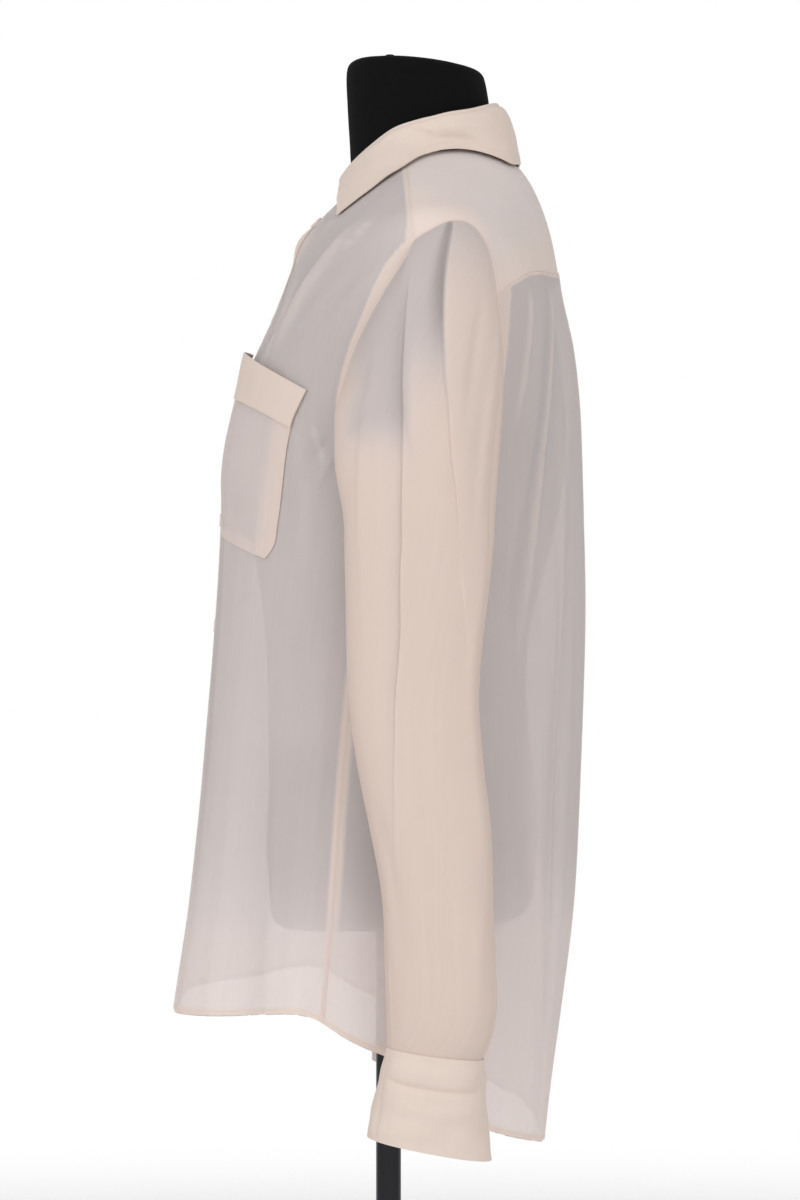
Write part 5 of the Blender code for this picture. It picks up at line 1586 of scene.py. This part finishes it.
def pathIn(name, edge, distance):
    # a path on a cloth piece, a set distance in from its edge: "top", "bottom", "left" or "right"
    grid = worked[name]["grid"]
    rows = grid + gridNormals(grid, False) * stitch["lift"] * (-1 if name.startswith("right") else 1)
    if edge in ("left", "right"):
        rows = np.swapaxes(rows, 0, 1)
    if edge in ("bottom", "right"):
        rows = rows[::-1]
    reach = walked(rows)
    return np.array([pickAlong(distance, reach[:, i], rows[:, i]) for i in range(rows.shape[1])])


def trimmed(path, start, end):
    # the path without its first and last stretch
    reach = walked(path)
    return pickAlong(np.linspace(start, reach[-1] - end, len(path)), reach, path)


def sew(name, *rows):
    # stitches along rows: each a piece, its edge, how far in, and how much of the row's ends is left off
    points, edges = [], []
    for piece, edge, distance, *ends in rows:
        path = pathIn(piece, edge, distance)
        path = trimmed(path, *ends) if ends else path
        edges += [(len(points) + k, len(points) + k + 1) for k in range(len(path) - 1)]
        points += path.tolist()
    guide = addMesh(name + "Paths", points, [], edges)
    sewn = guide.modifiers.new("stitches", "NODES")
    sewn.node_group = stitchTree
    sewn[stitchInputs["Thread"]] = materials["thread"]
    stitches = plainMesh(guide, name)
    bpy.data.objects.remove(guide)
    if not stitches.uv_layers:
        stitches.uv_layers.new(name="clothUv")
    stitches.shade_smooth()
    addObject(name, stitches)


sew("collarStitches", ("collarLeaf", "bottom", stitch["collar"], *stitch["collarEnds"]),
    *[("collarLeaf", edge, stitch["collar"], *stitch["leafEnds"]) for edge in ("left", "right")])
sew("placketStitches", *[("buttonPlacket", edge, stitch["placket"]) for edge in ("left", "right")])
sew("yokeStitches", *[("shoulderYoke", edge, stitch["yoke"]) for edge in ("bottom", "left", "right")])
sew("backHemStitches", ("backPanel", "bottom", turnings["hem"]))
for label in sides:
    sew(label + "HemStitches", (label + "Front", "bottom", turnings["hem"]))
    sew(label + "CuffStitches", *[(label + "Cuff", edge, stitch["cuff"], *stitch["cuffEnds"])
                                  for edge in ("top", "bottom", "left", "right")])
sew("pocketStitches", *[("breastPocket", edge, stitch["pocket"]) for edge in ("left", "right", "bottom")],
    ("pocketBand", "bottom", stitch["pocket"]))
print("stitches made")

# World, lamps and floor: even pale light, with the front a little brighter than the back
studio = dict(
    worldGlow=0.74, backdrop=1.0,
    lamps=[("frontSoftbox", (2.3, -1.7, 2.3), (0.0, 0.0, 0.90), 1.6, 26.5),
           ("sideSoftbox", (2.9, 1.3, 1.9), (0.0, 0.0, 0.90), 1.5, 21.5)],
    floor=[(0, 0.0), (0.8, 0.0), (1.6, 0.0), (2.4, 0.0), (3.4, 0.0), (3.4, -0.02), (0, -0.02)],
    floorSteps=64, floorDrop=0.0005, floorFade=(1.3, 3.2), floorColour=(0.86, 0.86, 0.86),
    glowColour=(1, 0.995, 0.99),
)


def buildStudio():
    scene.world = bpy.data.worlds.new("paleStudio")
    scene.world.use_nodes = True
    tree = scene.world.node_tree
    tree.nodes.clear()
    seen = node(tree, "ShaderNodeBackground", {"Color": (1, 1, 1, 1), "Strength": studio["backdrop"]})
    glow = node(tree, "ShaderNodeBackground", {
        "Color": (*studio["glowColour"], 1), "Strength": studio["worldGlow"]})
    path = node(tree, "ShaderNodeLightPath")
    mixed = node(tree, "ShaderNodeMixShader", {0: path.outputs["Is Camera Ray"]})
    tree.links.new(glow.outputs[0], mixed.inputs[1])
    tree.links.new(seen.outputs[0], mixed.inputs[2])
    tree.links.new(mixed.outputs[0], node(tree, "ShaderNodeOutputWorld").inputs["Surface"])
    for name, place, aim, size, power in studio["lamps"]:
        lamp = bpy.data.lights.new(name, "AREA")
        lamp.shape, lamp.size, lamp.energy = "DISK", size, power
        hung = addObject(name, lamp)
        hung.location = place
        hung.rotation_euler = (Vector(aim) - Vector(place)).to_track_quat("-Z", "Y").to_euler()


def floorMaterial():
    material, tree = newMaterial("paleFloor")
    place = node(tree, "ShaderNodeTexCoord").outputs["Object"]
    away = node(tree, "ShaderNodeVectorMath", {0: place}, operation="LENGTH").outputs["Value"]
    near, far = studio["floorFade"]
    fade = node(tree, "ShaderNodeMapRange", {
        "Value": away, "From Min": near, "From Max": far, "To Min": 1.0, "To Max": 0.0,
    }, interpolation_type="SMOOTHSTEP").outputs[0]
    coat(tree, node(tree, "ShaderNodeBsdfPrincipled", {
        "Base Color": (*studio["floorColour"], 1), "Roughness": 0.6, "Specular IOR Level": 0.2,
        "Alpha": fade}))
    return material


buildStudio()
floorPoints, floorFaces = turnedMesh(studio["floor"], studio["floorSteps"])
floor = addMesh("studioFloor", np.array(floorPoints) - (0, 0, studio["floorDrop"]), floorFaces)
floor.data.materials.append(floorMaterial())
scene.view_settings.view_transform = "Standard"
scene.view_settings.look = "None"
print("studio made")

# Every piece goes with the one body, and stands in for its solid, which is hidden
def dress(name, slot, *solids):
    piece = bpy.data.objects[name]
    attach(piece, "root")
    if solids:
        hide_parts(*solids)


def dressSheet(name, slot, solid):
    # its grid's widest row and longest column are measured, and not kept
    dress(name, slot, solid)
    grid = worked[name]["grid"]
    if worked[name]["closedRound"]:
        grid = np.concatenate([grid, grid[:, :1]], axis=1)
    width, length = float(walked(grid, 1)[:, -1].max()), float(walked(grid, 0)[-1].max())


for name in [obj.name for obj in scene.objects]:
    if "Turning" in name or "Stitches" in name:
        dress(name, "silk")
for part, piece in buttons.items():
    dress(piece.name, "pearl", part)
dress("buttonThread", "double_silk")
dress("dressFormBody", "black_jersey", "dress_form")
dress("neckKnob", "black_jersey")
dress("standPoleMetal", "black_metal", "stand_pole")
dress("standBaseMetal", "black_metal", "stand_base")

for label in sides:
    dressSheet(label + "Front", "silk", "front_" + label)
    dressSheet(label + "Sleeve", "silk", "sleeve_" + label)
    dressSheet(label + "Cuff", "double_silk", "cuff_" + label)
dressSheet("backPanel", "silk", "back")
dressSheet("shoulderYoke", "double_silk", "yoke")
dressSheet("buttonPlacket", "double_silk", "placket")
dressSheet("collarStand", "double_silk", "collar_stand")
dressSheet("collarLeaf", "double_silk", "collar_leaf")
dressSheet("breastPocket", "silk", "pocket")
dressSheet("pocketBand", "double_silk", "pocket_band")
